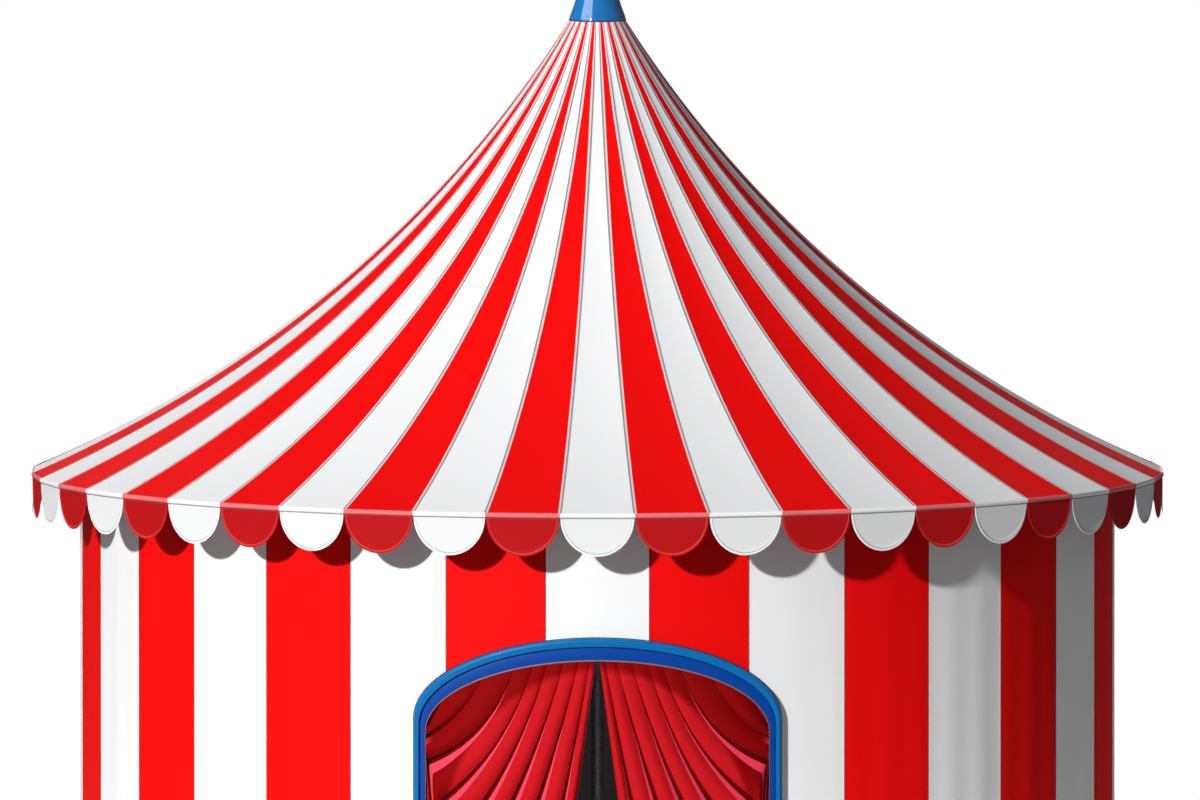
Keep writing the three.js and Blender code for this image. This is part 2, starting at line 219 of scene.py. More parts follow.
class Finish(Graph):
    """A material's node tree, with the textures that the tent's materials share."""

    def __init__(self, name):
        self.material = bpy.data.materials.new(name)
        self.material.use_nodes = True
        super().__init__(self.material.node_tree)
        self.place = self.add("ShaderNodeTexCoord", output=3)

    def noise(self, size, detail=3.0, stretch=(1, 1, 1)):
        """Soft noise from 0 to 1 with lumps of about this size in metres."""
        where = self.add("ShaderNodeVectorMath", {0: self.place, 1: stretch}, operation="MULTIPLY")
        values = {"Vector": where, "Scale": 1 / size, "Detail": detail, "Roughness": 0.55}
        return self.add("ShaderNodeTexNoise", values)

    def blend(self, amount, first, second):
        """One colour over another by an amount from 0 to 1."""
        colors = [(*c, 1) if isinstance(c, tuple) else c for c in (first, second)]
        inputs = {0: amount, 6: colors[0], 7: colors[1]}
        return self.add("ShaderNodeMix", inputs, output=2, data_type="RGBA")

    def attribute(self, name):
        """A named value that the piece's own mesh carries."""
        return self.add("ShaderNodeAttribute", output=2, attribute_name=name)

    def height(self):
        """The height above the ground."""
        return self.add("ShaderNodeSeparateXYZ", {0: self.place}, output=2)

    def flat_place(self):
        """The two coordinates of the piece's own UV map."""
        uv = self.add("ShaderNodeUVMap", uv_map="UVMap")
        return self.add("ShaderNodeSeparateXYZ", {0: uv}, output=(0, 1))

    def surface(self, sockets, relief=None, depth=0.001):
        """The shader itself. Relief from 0 to 1 is that many metres deep."""
        if relief is not None:
            sockets["Normal"] = self.add("ShaderNodeBump", {"Distance": depth, "Height": relief})
        shader = self.add("ShaderNodeBsdfPrincipled", sockets)
        self.add("ShaderNodeOutputMaterial", {"Surface": shader})
        return self.material


def plain_mesh(name, verts, faces, edges=()):
    """A mesh of these points, with faces or edges between them."""
    mesh = bpy.data.meshes.new(name)
    mesh.from_pydata(verts, edges, faces)
    return mesh


def new_object(name, mesh, material):
    """A mesh as an object in the scene, smooth but for its sharp edges."""
    mesh.materials.clear()
    mesh.materials.append(material)
    mesh.shade_smooth()
    mesh.set_sharp_from_angle(angle=math.radians(SHARP_EDGE))
    obj = bpy.data.objects.new(name, mesh)
    scene.collection.objects.link(obj)
    return obj


finish = Finish("floor")
x, y = finish.add("ShaderNodeSeparateXYZ", {0: finish.place}, output=(0, 1))
reach = (x * x + y * y).sqrt()
cloud = finish.noise(0.8)
floor_color = finish.blend(cloud * 0.08, FLOOR_PALE, FLOOR_CLOUDED)
matt = finish.add("ShaderNodeBsdfPrincipled", {"Base Color": floor_color, "Roughness": 0.9})
glow = finish.add("ShaderNodeEmission", {"Color": FLOOR_GLOW})
pale = finish.add("ShaderNodeAddShader", {0: matt, 1: glow})
seen = finish.add("ShaderNodeLightPath")
outside = reach.fade(GLOW_FROM, GLOW_TO)
lit = finish.add("ShaderNodeMixShader", {0: seen * outside, 1: matt, 2: pale})
clear = finish.add("ShaderNodeBsdfTransparent")
edge = reach.fade(FADE_FROM, FADE_TO)
faded = finish.add("ShaderNodeMixShader", {0: edge, 1: lit, 2: clear})
finish.add("ShaderNodeOutputMaterial", {"Surface": faded})
floor_turns = [2 * math.pi * i / FLOOR_SIDES for i in range(FLOOR_SIDES)]
floor_rim = [(FLOOR_RADIUS * math.cos(a), FLOOR_RADIUS * math.sin(a), 0) for a in floor_turns]
floor_mesh = plain_mesh("floor", floor_rim, [range(FLOOR_SIDES)])
new_object("floor", floor_mesh, finish.material)


# The king pole stands in a webbed socket on its base plate. It, the crown ring, the eave ring and
# the side poles are steel tube and plate, welded and hot-dip galvanised, and keep their plain shapes.
STEEL_PALE = (0.56, 0.58, 0.60)
STEEL_DULL = (0.34, 0.36, 0.38)
RUST_BROWN = (0.20, 0.11, 0.06)
SPANGLE = 0.018
DAMP_HEIGHT = 0.25

finish = Finish("galvanised_steel")
cells = finish.add("ShaderNodeTexVoronoi", {"Vector": finish.place, "Scale": 1 / SPANGLE}, output=1)
spangle = finish.add("ShaderNodeSeparateColor", {0: cells})
cloud = finish.noise(0.12)
rust = finish.height().fade(DAMP_HEIGHT, 0) * finish.noise(0.03, detail=5).fade(0.5, 0.72)
zinc = finish.blend(spangle * 0.6 + cloud * 0.4, STEEL_PALE, STEEL_DULL)
steel = finish.surface(
    {
        "Base Color": finish.blend(rust, zinc, RUST_BROWN),
        "Metallic": 0.85 - rust * 0.8,
        "Roughness": 0.36 + spangle * 0.16 + rust * 0.35,
    },
    relief=cloud * 0.6 + spangle * 0.4,
    depth=0.0004,
)


def dress_node(name, material):
    """A CAD node that keeps its shape gets its finish."""
    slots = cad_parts[name].data.materials
    slots.clear()
    slots.append(material)


BAYS = 8
for name in ("king_pole_foot", "king_pole", "crown_ring"):
    dress_node(name, steel)
for i in range(BAYS):
    dress_node(f"side_pole_{i + 1}", steel)
    dress_node(f"eave_ring_section_{i + 1}", steel)


# The crown cap is two halves of sheet steel, lapped at the sides to a flared cone, with a rolled bead
# round the rim. It is painted in gloss blue, riveted to the crown ring, and carries a ball finial. The
# low part of the bead is painted darker blue, a painted shade under the rim.
CAP_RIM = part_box("crown_cap")[0].z
CAP_CURVE = [(0.2480, 0.000), (0.2525, 0.003), (0.2545, 0.009), (0.2520, 0.015), (0.2470, 0.018)]
CAP_CURVE += [(0.2450, 0.028), (0.2200, 0.093), (0.1950, 0.168), (0.1700, 0.248), (0.1440, 0.345)]
CAP_CURVE += [(0.1150, 0.470), (0.0850, 0.610), (0.0600, 0.730), (0.0420, 0.815), (0.0330, 0.846)]
CAP_CURVE += [(0.0000, 0.850)]
CAP_SIDES = 96
CAP_WALL = 0.006
CAP_MOUTH = [(0.19, 0.0), (0.2465, 0.0)]
CAP_HOLLOW = {"least_radius": 0.04, "low": 0.03}
CAP_BEAD_SHADE = 0.013
CAP_HALVES = 2
CAP_LAP = {"width": 0.016, "rise": 0.004, "least_radius": 0.05}
RIVETS = {"count": 24, "radius": 0.0065, "height": 0.052, "proud": 0.002, "sides": 10}
RIVET_DOME = [(0, -0.003), (1, -0.003), (1, 0.15), (0.8, 0.5), (0.45, 0.72), (0, 0.8)]
CAP_BLUE = (0.0, 0.130, 0.385)
CAP_WORN = (0.02, 0.09, 0.22)
BEAD_SHADE_BLUE = (0.0, 0.05, 0.13)


def smooth_step(a, b, c, d, t):
    """The number at t from 0 to 1 between b and c, on the smooth curve through a, b, c and d."""
    bend = 2 * a - 5 * b + 4 * c - d
    twist = 3 * b - a - 3 * c + d
    return 0.5 * (2 * b + (c - a) * t + bend * t**2 + twist * t**3)


def smooth_curve(points, steps):
    """Points along a smooth curve through these points."""
    ends = [points[0], *points, points[-1]]
    curve = []
    for near in zip(ends, ends[1:], ends[2:], ends[3:]):
        for i in range(steps):
            curve.append(tuple(smooth_step(*values, i / steps) for values in zip(*near)))
    return [*curve, tuple(points[-1])]


def rings_joined(rings, sides, closed=False, start=0):
    """The faces between rings of points, where each ring is joined to the next one."""
    faces = []
    for i in range(rings if closed else rings - 1):
        n = (i + 1) % rings
        for j in range(sides):
            k = (j + 1) % sides
            quad = (i * sides + j, i * sides + k, n * sides + k, n * sides + j)
            faces.append([start + corner for corner in quad])
    return faces


def turned(name, profile, sides):
    """A closed mesh of a profile of (radius, height), from the axis round to the axis again."""
    ring = profile[1:-1]
    turns = [2 * math.pi * i / sides for i in range(sides)]
    verts = [(r * math.sin(a), -r * math.cos(a), h) for r, h in ring for a in turns]
    faces = rings_joined(len(ring), sides)
    low, high, top = len(verts), len(verts) + 1, len(verts) - sides
    verts += [(0, 0, profile[0][1]), (0, 0, profile[-1][1])]
    for j in range(sides):
        k = (j + 1) % sides
        faces.append((low, k, j))
        faces.append((high, top + j, top + k))
    return plain_mesh(name, verts, faces)


def bar(name, sections):
    """A closed mesh through sections of the same number of points, with flat ends."""
    verts = [spot for section in sections for spot in section]
    wide = len(sections[0])
    ends = [range(wide - 1, -1, -1), range(len(verts) - wide, len(verts))]
    return plain_mesh(name, verts, rings_joined(len(sections), wide) + ends)


def node_tree(name, counts, sizes):
    """A geometry node tree that takes a start mesh, counts, sizes and a material, and their wires."""
    tree = bpy.data.node_groups.new(name, "GeometryNodeTree")
    kinds = {"Geometry": "Geometry", **dict.fromkeys(counts, "Int")}
    kinds |= {**dict.fromkeys(sizes, "Float"), "Material": "Material"}
    for label, kind in kinds.items():
        tree.interface.new_socket(label, in_out="INPUT", socket_type=f"NodeSocket{kind}")
    tree.interface.new_socket("Geometry", in_out="OUTPUT", socket_type="NodeSocketGeometry")
    graph = Graph(tree)
    wires = graph.add("NodeGroupInput", output=tuple(range(len(kinds))))
    return graph, dict(zip(kinds, wires))


def stored(graph, geometry, name, value, domain, data_type="FLOAT"):
    """The geometry with a value of this name kept on it."""
    inputs = {"Geometry": geometry, "Name": name, "Value": value}
    settings = {"data_type": data_type, "domain": domain}
    return graph.add("GeometryNodeStoreNamedAttribute", inputs, **settings)


def ended(graph, geometry, material):
    """Ends a tree: what it made becomes plain mesh and gets its material."""
    real = graph.add("GeometryNodeRealizeInstances", {"Geometry": geometry})
    coated = graph.add("GeometryNodeSetMaterial", {"Geometry": real, "Material": material})
    graph.add("NodeGroupOutput", {"Geometry": coated})


def finished(name, mesh, material, node=None):
    """A piece of the tent, fixed to the frame, in place of its CAD node if it has one."""
    obj = new_object(name, mesh, material)
    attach(obj, "root")
    if node:
        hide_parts(node)
    return obj


def grown(name, graph, start, material, slot, node=None, **sizes):
    """The finished piece that a geometry node tree makes from a start mesh with these sizes."""
    source = bpy.data.objects.new(name, start or bpy.data.meshes.new(name))
    scene.collection.objects.link(source)
    modifier = source.modifiers.new(name, "NODES")
    modifier.node_group = graph.tree
    sizes["Material"] = material
    for item in graph.tree.interface.items_tree:
        if item.in_out == "INPUT" and item.name in sizes:
            modifier[item.identifier] = sizes[item.name]
    ready = source.evaluated_get(bpy.context.evaluated_depsgraph_get())
    mesh = bpy.data.meshes.new_from_object(ready)
    mesh.name = name
    bpy.data.objects.remove(source)
    return finished(name, mesh, material, node)


# Copies of one part are set round the tent's axis at equal steps, and every second one is marked as
# white.
rings, given = node_tree("round_the_axis", ["Count"], ["First", "Step"])
spots = rings.add("GeometryNodePoints", {"Count": given["Count"]})
number = rings.add("GeometryNodeInputIndex")
turn = rings.add("ShaderNodeCombineXYZ", {"Z": given["First"] + number * given["Step"]})
copies = rings.add(
    "GeometryNodeInstanceOnPoints",
    {"Points": spots, "Instance": given["Geometry"], "Rotation": turn},
)
marked = stored(rings, copies, "stripe", number % 2, "INSTANCE")
ended(rings, marked, given["Material"])


def set_round(name, part, count, first, material, slot, node=None, step=None):
    """Like parts round the axis as one finished piece, all the way round unless a step is given."""
    sizes = {"Count": count, "First": first, "Step": step or 2 * math.pi / count}
    return grown(name, rings, part, material, slot, node, **sizes)


finish = Finish("cap_gloss_paint")
cloud = finish.noise(0.07)
scuffs = finish.noise(0.012, detail=6, stretch=(1, 1, 0.35)).fade(0.64, 0.78)
# Painted shade: the low band of the rim bead is painted a darker blue.
bead = finish.height() < CAP_RIM + CAP_BEAD_SHADE
cap_color = finish.blend(scuffs * 0.5 + cloud * 0.12, CAP_BLUE, CAP_WORN)
cap_paint = finish.surface(
    {
        "Base Color": finish.blend(bead, cap_color, BEAD_SHADE_BLUE),
        "Roughness": 0.38 + cloud * 0.1 + scuffs * 0.3,
        "Specular IOR Level": 0.0,
        "Coat Weight": 0.8 - scuffs * 0.6,
        "Coat IOR": 2.2,
        "Coat Roughness": 0.05,
    },
    relief=finish.noise(0.02),
    depth=0.0002,
)

cap_curve = smooth_curve(CAP_CURVE, 4)
cap_outside = [(max(r, 0), CAP_RIM + h) for r, h in cap_curve]
cap_inside = [
    (r - CAP_WALL, CAP_RIM + h)
    for r, h in reversed(cap_curve)
    if r > CAP_HOLLOW["least_radius"] and h > CAP_HOLLOW["low"]
]
cap_mouth = [(r, CAP_RIM + h) for r, h in CAP_MOUTH]
cap_profile = [(0, cap_inside[0][1]), *cap_inside, *cap_mouth, *cap_outside]
cap_cone = turned("crown_cap_cone", cap_profile, CAP_SIDES)
cap_pieces = [finished("crown_cap_cone", cap_cone, cap_paint, "crown_cap")]


def ribbon(name, line, width, rise):
    """A raised closed strip along a line of (radius, height) points in the plane of bearing 0."""
    sections = []
    for i, (r, h) in enumerate(line):
        before, after = line[max(i - 1, 0)], line[min(i + 1, len(line) - 1)]
        along = Vector((after[0] - before[0], after[1] - before[1])).normalized()
        out = Vector((abs(along.y), abs(along.x)))
        section = []
        for side, lift in ((-1, 0), (-0.6, 1), (0.6, 1), (1, 0)):
            level = Vector((r, h)) + out * rise * (lift - 0.2)
            section.append((side * width / 2, -level.x, level.y))
        sections.append(section)
    return bar(name, sections)


lap_line = [p for p in cap_outside if CAP_LAP["least_radius"] < p[0] < CAP_MOUTH[1][0]]
lap = ribbon("cap_lap", lap_line, CAP_LAP["width"], CAP_LAP["rise"])
cap_pieces.append(set_round("crown_cap_laps", lap, CAP_HALVES, math.pi / 2, cap_paint, "cap_blue"))

rivet_profile = [(r * RIVETS["radius"], h * RIVETS["radius"]) for r, h in RIVET_DOME]
rivet = turned("rivet", rivet_profile, RIVETS["sides"])
rivet_seat = next(r for r, h in cap_outside if h > CAP_RIM + RIVETS["height"])
for vert in rivet.vertices:
    side, back, out = vert.co
    level = CAP_RIM + RIVETS["height"] + back
    vert.co = (side, -rivet_seat - RIVETS["proud"] - out, level)
half_step = math.pi / RIVETS["count"]
rivets = set_round("crown_cap_rivets", rivet, RIVETS["count"], half_step, cap_paint, "cap_blue")
cap_pieces.append(rivets)

# The ball finial stands on the tip of the cap, on a turned foot that is welded to it.
BALL = {"radius": 0.084, "neck": 0.022, "neck_top": 0.058, "steps": 20, "sides": 48}
FINIAL_FOOT = [(0, 0), (0.049, 0), (0.052, 0.003), (0.050, 0.009), (0.036, 0.014)]
FINIAL_FOOT += [(0.025, 0.020), (0.022, 0.030), (0.022, 0.050)]
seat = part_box("finial")[0].z
ball_start = math.asin(BALL["neck"] / BALL["radius"]) - math.pi / 2
ball_centre = seat + BALL["neck_top"] - BALL["radius"] * math.sin(ball_start)
finial_profile = [(r, seat + h) for r, h in FINIAL_FOOT]
for i in range(BALL["steps"] + 1):
    turn_up = ball_start + (math.pi / 2 - ball_start) * i / BALL["steps"]
    around = max(BALL["radius"] * math.cos(turn_up), 0)
    finial_profile.append((around, ball_centre + BALL["radius"] * math.sin(turn_up)))
finial = turned("ball_finial", finial_profile, BALL["sides"])
cap_pieces.append(finished("ball_finial", finial, cap_paint, "finial"))

# A lamp that lights the cap alone gives the gloss paint its gleam, down the left side.
gleam = sun("cap_gleam", azimuth=-55, elevation=34, power=1.2, spread=46)
gleam.light_linking.receiver_collection = bpy.data.collections.new("cap_pieces")
for piece in cap_pieces:
    gleam.light_linking.receiver_collection.objects.link(piece)


# The roof is coated polyester in four quarters of twelve gores, red and white in turn. The white
# gores lap over the red ones in flat seams, and the cloth is drawn tight from the crown to the eave.
CROWN_EDGE = (0.250, 8.380)
ROOF_PULL = (1.950, 5.720)
EAVE_EDGE = (5.000, 4.400)
ROOF_LENGTH = 6.292
GORES = 48
GORE_STEP = 2 * math.pi / GORES
QUARTER_GORES = 12
QUARTERS = ("front", "right", "back", "left")
FIRST_LACE = math.radians(-41.25)
CLOTH = 0.003
ROOF_RED = (0.86, 0.0024, 0.0024)
ROOF_WHITE = (0.84, 0.845, 0.85)
# The cloth's inner faces are painted near black, a painted shade, and glow faintly, a painted light.
INSIDE_SHADE_DARK = (0.018, 0.016, 0.018)
INSIDE_PAINTED_GLOW = (0.0165, 0.0132, 0.0142)
SEAM_GREY = (0.15, 0.21, 0.23)
SEAM_PALE = (0.72, 0.60, 0.60)
THREAD = 0.0012
STITCH = {"pitch": 0.009, "gap": -0.2}
WORN_RED = (0.58, 0.012, 0.010)
WORN_WHITE = (0.70, 0.69, 0.64)
STITCH_WHITE = (0.75, 0.76, 0.78)
ROOF_SEAM = {"share": 0.36, "grey": 0.014, "pale": 0.017, "stitch": 0.006, "thread": 0.0016}
ROOF_LAP = {"from": 0.024, "to": 0.018, "rise": 0.0016}
ROOF_GRID = {"Rows": 71, "GoreColumns": 10}
ROOF_SAG = 0.006
FULL_SAG_DOWN = 0.5
TOP_FOLD_SHARE = 0.25
MERGED = 0.00002

# Cloth in gores or stripes: a grid with a rim that folds over to join its two layers. It hangs on a
# curve of (radius, height) through a top and a low edge, which a third point pulls in.
gored, given = node_tree(
    "gored_cloth",
    ["Gores", "Rows", "GoreColumns"],
    ["First", "Step", "TopRadius", "TopHeight", "PullRadius", "PullHeight", "LowRadius", "LowHeight"]
    + ["Length", "Flatness", "Sag", "Folds", "FoldDepth", "Thickness", "FirstColor"],
)
rows, columns = given["Rows"], given["Gores"] * given["GoreColumns"]
grid = gored.add(
    "GeometryNodeMeshGrid",
    {"Size X": 1.0, "Size Y": 1.0, "Vertices X": rows + 3, "Vertices Y": columns + 3},
)
flat = gored.add("GeometryNodeInputPosition")
x, y = gored.add("ShaderNodeSeparateXYZ", {0: flat}, output=(0, 1))
# The places down and across the cloth run from 0 to 1 within the rim.
down = ((x + 0.5) * (rows + 2) - 1) / rows
across = ((y + 0.5) * (columns + 2) - 1) / columns
within = (abs(down - 0.5) < 0.501) * (abs(across - 0.5) < 0.501)
t = down.least(0.0).most(1.0)
up = 1 - t
gore_place = across.least(0.0).most(1.0) * given["Gores"]
gore_number = gore_place.floor().most(given["Gores"] - 1)
gore = gored.add("GeometryNodeFieldOnDomain", {0: gore_number}, data_type="FLOAT", domain="FACE")


def drawn(way):
    """The curve's radius or height at t, and how fast it changes there."""
    top, pull, low = (given[place + way] for place in ("Top", "Pull", "Low"))
    return top * up * up + pull * up * t * 2 + low * t * t, up * (pull - top) + t * (low - pull)


radius, run_out = drawn("Radius")
height, run_up = drawn("Height")
run = (run_out * run_out + run_up * run_up).sqrt()
half_width = radius * (given["Step"] / 2).sin()
from_middle = (gore_place - gore - 0.5) * 2 * half_width
cloth_place = gored.add("ShaderNodeCombineXYZ", {"X": from_middle, "Y": t * given["Length"]})
sheet = stored(gored, grid, "UVMap", cloth_place, "CORNER", "FLOAT2")
sheet = stored(gored, sheet, "half_width", half_width, "POINT")
sheet = stored(gored, sheet, "stripe", (gore + given["FirstColor"]) % 2, "FACE")
share = gore_place % 1.0
bearing = given["First"] + gore_place * given["Step"]
chord = (given["Step"] / 2).cos() / ((share - 0.5) * given["Step"]).cos()
flatten = (chord - 1) * given["Flatness"] + 1
sag = (share * math.pi).sin() * given["Sag"] * (t / FULL_SAG_DOWN).most(1.0)
folds = (gore_place * given["Folds"] * 2 * math.pi).sin() * given["FoldDepth"]
folds = folds * (t + TOP_FOLD_SHARE).most(1.0)
layers = []
for layer in (0.0, 1.0):
    stand = folds - sag - given["Thickness"] * within * layer
    around = (radius - run_up / run * stand) * flatten
    spot = {"X": around * bearing.sin(), "Y": -around * bearing.cos()}
    spot["Z"] = height + run_out / run * stand
    place = gored.add("ShaderNodeCombineXYZ", spot)
    marked = stored(gored, sheet, "inner", within * layer, "FACE")
    layers.append(gored.add("GeometryNodeSetPosition", {"Geometry": marked, "Position": place}))
turned_round = gored.add("GeometryNodeFlipFaces", {"Mesh": layers[1]})
both = gored.add("GeometryNodeJoinGeometry", {"Geometry": [layers[0], turned_round]})
closed = gored.add("GeometryNodeMergeByDistance", {"Geometry": both, "Distance": MERGED})
ended(gored, closed, given["Material"])


class StripedCloth(Finish):
    """Coated cloth in red and white stripes, with its weave, seams and dust, painted near black inside
    as painted shade, with a faint painted glow.
    """

    def __init__(self, name, red, white):
        super().__init__(name)
        self.u, self.v = self.flat_place()
        self.white = self.attribute("stripe") > 0.5
        self.inner = self.attribute("inner") > 0.5
        self.dust = self.noise(0.05, detail=5)
        tint = self.noise(0.35) * 0.10 + self.dust * 0.05
        worn_red = self.blend(tint, red, WORN_RED)
        worn_white = self.blend(tint, white, WORN_WHITE)
        self.color = self.blend(self.white, worn_red, worn_white)
        threads = 2 * math.pi / THREAD
        self.weave = (self.u * threads).sin() * (self.v * threads).sin() * 0.5 + 0.5

    def lay(self, amount, color):
        """Lays a colour over the cloth by an amount from 0 to 1."""
        self.color = self.blend(amount, self.color, color)

    def stitches(self, to_seam, inset, half_thread):
        """A row of stitches down the cloth, at this distance from the seam."""
        dashes = (self.v * (2 * math.pi / STITCH["pitch"])).sin() > STITCH["gap"]
        return dashes * (abs(to_seam - inset) < half_thread)

    def painted_dark_inside(self, roughness, relief, depth):
        """The material, once the inner faces are painted near black as painted shade, with a faint
        painted glow.
        """
        # Painted shade: the inner faces get a near-black colour. Painted light: they also glow faintly.
        self.lay(self.inner, INSIDE_SHADE_DARK)
        return self.surface(
            {
                "Base Color": self.color,
                "Roughness": roughness + self.dust * 0.12,
                "Specular IOR Level": 0.05,
                "Emission Color": self.blend(self.inner, (0, 0, 0), INSIDE_PAINTED_GLOW),
                "Emission Strength": 1.0,
            },
            relief=relief,
            depth=depth,
        )


cloth = StripedCloth("roof_cloth", ROOF_RED, ROOF_WHITE)
half = cloth.attribute("half_width")
to_seam = half - abs(cloth.u)
grey_line = to_seam < (half * ROOF_SEAM["share"]).most(ROOF_SEAM["grey"])
pale_line = to_seam < (half * ROOF_SEAM["share"]).most(ROOF_SEAM["pale"])
stitch = cloth.stitches(to_seam, ROOF_SEAM["stitch"], ROOF_SEAM["thread"])
cloth.lay(grey_line * cloth.white, SEAM_GREY)
cloth.lay(pale_line * (1 - cloth.white), SEAM_PALE)
cloth.lay(stitch * 0.6, STITCH_WHITE)
lap = to_seam.fade(ROOF_LAP["from"], ROOF_LAP["to"])
roof_relief = lap * 0.8 + cloth.weave * 0.04 - stitch * 0.2
roof_cloth = cloth.painted_dark_inside(0.52, roof_relief, ROOF_LAP["rise"])

for i, place in enumerate(QUARTERS):
    piece = grown(
        f"roof_cloth_{place}",
        gored,
        None,
        roof_cloth,
        "roof_cloth",
        f"canopy_quarter_{i + 1}",
        **ROOF_GRID,
        Gores=QUARTER_GORES,
        First=FIRST_LACE + i * QUARTER_GORES * GORE_STEP,
        Step=GORE_STEP,
        TopRadius=CROWN_EDGE[0],
        TopHeight=CROWN_EDGE[1],
        PullRadius=ROOF_PULL[0],
        PullHeight=ROOF_PULL[1],
        LowRadius=EAVE_EDGE[0],
        LowHeight=EAVE_EDGE[1],
        Length=ROOF_LENGTH,
        Flatness=1.0,
        Sag=ROOF_SAG,
        Thickness=CLOTH,
    )


# A welted roll runs round the hem of the roof, one straight length to each gore, sewn over a rope. Its
# red and white are painted paler than the roof's, a painted highlight along the roll.
# Under it hang the valance's tongues, one to a gore, each bound along its curve with a stitched tape.
# Their red and white are painted darker than the roof's, a painted shade on the hanging cloth.
WELT = {"depth": 0.011, "rise": 0.021, "centre": 4.385, "out": 4.996}
WELT_HIGHLIGHT_RED = (0.78, 0.18, 0.19)
WELT_HIGHLIGHT_WHITE = (0.86, 0.87, 0.87)
VALANCE_SHADED_RED = (0.41, 0.006, 0.008)
VALANCE_SHADED_WHITE = (0.72, 0.73, 0.73)
TAPE_RED = (0.50, 0.014, 0.014)
TAPE_WHITE = (0.86, 0.87, 0.87)
TAPE_LINE_RED = (0.60, 0.07, 0.055)
TAPE_LINE_WHITE = (0.28, 0.34, 0.36)
SEWN_SHADOW_DARK = (0.10, 0.06, 0.06)
ROLL_SIDES = 16
ROLL_RIBS = 0.02
TONGUE = {
    "radius": 4.998,
    "top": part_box("valance_quarter_1")[1].z,
    "drop": 0.362,
    "band": 0.026,
    "sewn": 0.029,
    "fit": 0.985,
    "thickness": 0.003,
    "kick": 0.010,
    "hollow": 0.006,
}
BINDING = {"width": 0.021, "rise": 0.0016, "line": 0.0035}
TAPE_ROWS = (0.0, 0.002, 0.0115, 0.019, 0.021)
INNER_ROWS = 8
TONGUE_COLUMNS = 48
DEEP_INSIDE = 0.3

# The welt's paler red and white are a painted highlight along the roll.
cloth = StripedCloth("welt_cloth", WELT_HIGHLIGHT_RED, WELT_HIGHLIGHT_WHITE)
ribs = (cloth.v * (2 * math.pi / ROLL_RIBS)).sin() * 0.5 + 0.5
welt_cloth = cloth.painted_dark_inside(0.4, ribs * 0.4 + cloth.weave * 0.1, 0.0006)

welt_sections = []
for end in (-1, -0.5, 0, 0.5, 1):
    section = []
    for i in range(ROLL_SIDES):
        a = 2 * math.pi * i / ROLL_SIDES
        out = (WELT["out"] + WELT["depth"] * math.cos(a)) * math.cos(GORE_STEP / 2)
        rise = WELT["centre"] + WELT["rise"] * math.sin(a)
        section.append((end * out * math.tan(GORE_STEP / 2), -out, rise))
    welt_sections.append(section)
welt = bar("welt", welt_sections)
welt.flip_normals()
welt_uv = welt.uv_layers.new(name="UVMap")
for loop in welt.loops:
    x, y, z = welt.vertices[loop.vertex_index].co
    welt_uv.data[loop.index].uv = (z, x)


def shell(name, grid, stripes=None, painted_dark_inside=False, **fields):
    """A thin closed mesh on a grid of (front point, back point, flat place), with named values."""
    rows, columns = len(grid), len(grid[0])
    points = [point for row in grid for point in row]
    count = len(points)
    faces, face_stripes, face_sides = [], [], []

    def corner(side, place):
        return side * count + place[0] * columns + place[1]

    for i in range(rows - 1):
        for j in range(columns - 1):
            quad = [(i, j), (i + 1, j), (i + 1, j + 1), (i, j + 1)]
            faces.append([corner(0, place) for place in quad])
            faces.append([corner(1, place) for place in reversed(quad)])
            face_stripes += [stripes[j] if stripes else 0] * 2
            face_sides += [0, int(painted_dark_inside)]
    rim = [(i, 0) for i in range(rows)] + [(rows - 1, j) for j in range(1, columns)]
    rim += [(i, columns - 1) for i in range(rows - 2, -1, -1)]
    rim += [(0, j) for j in range(columns - 2, 0, -1)]
    for a, b in zip(rim, rim[1:] + rim[:1]):
        faces.append([corner(0, b), corner(0, a), corner(1, a), corner(1, b)])
        face_stripes.append(stripes[min(a[1], b[1], columns - 2)] if stripes else 0)
        face_sides.append(0)
    mesh = plain_mesh(name, [point[side] for side in (0, 1) for point in points], faces)
    places = [points[loop.vertex_index % count][2] for loop in mesh.loops]
    layer = mesh.uv_layers.new(name="UVMap")
    layer.uv.foreach_set("vector", [value for place in places for value in place])
    if stripes:
        mesh.attributes.new("stripe", "FLOAT", "FACE").data.foreach_set("value", face_stripes)
    mesh.attributes.new("inner", "FLOAT", "FACE").data.foreach_set("value", face_sides)
    for label, values in fields.items():
        level = [value for row in values for value in row]
        mesh.attributes.new(label, "FLOAT", "POINT").data.foreach_set("value", level * 2)
    return mesh


half = TONGUE["radius"] * math.sin(GORE_STEP / 2)
narrow = half * TONGUE["fit"]
flat_front = TONGUE["radius"] * math.cos(GORE_STEP / 2)
band_low = TONGUE["top"] - TONGUE["band"]
tongue_drop = TONGUE["drop"] - TONGUE["band"]
grid, edges = [], []
for i in reversed(range(len(TAPE_ROWS) + INNER_ROWS)):
    row, edge_row = [], []
    for j in range(TONGUE_COLUMNS + 1):
        a = math.pi * j / TONGUE_COLUMNS
        start = Vector((-narrow * math.cos(a), band_low - tongue_drop * math.sin(a)))
        normal = Vector((math.cos(a) / narrow, math.sin(a) / tongue_drop)).normalized()
        from_edge = TAPE_ROWS[min(i, len(TAPE_ROWS) - 1)]
        spot = start + normal * from_edge
        if i >= len(TAPE_ROWS):
            share_up = (i - len(TAPE_ROWS) + 1) / INNER_ROWS
            spot = spot.lerp(Vector((-half * math.cos(a), TONGUE["top"])), share_up)
            from_edge += share_up * DEEP_INSIDE
        down = TONGUE["top"] - spot.y
        hang = down / TONGUE["drop"]
        out = flat_front + TONGUE["kick"] * hang * hang - TONGUE["hollow"] * hang
        raised = BINDING["rise"] if 0 < i < len(TAPE_ROWS) - 1 else 0
        front_spot = (spot.x, -out - raised, spot.y)
        back_spot = (spot.x, -out + TONGUE["thickness"] + raised, spot.y)
        row.append((front_spot, back_spot, (spot.x, down)))
        edge_row.append(from_edge)
    grid.append(row)
    edges.append(edge_row)
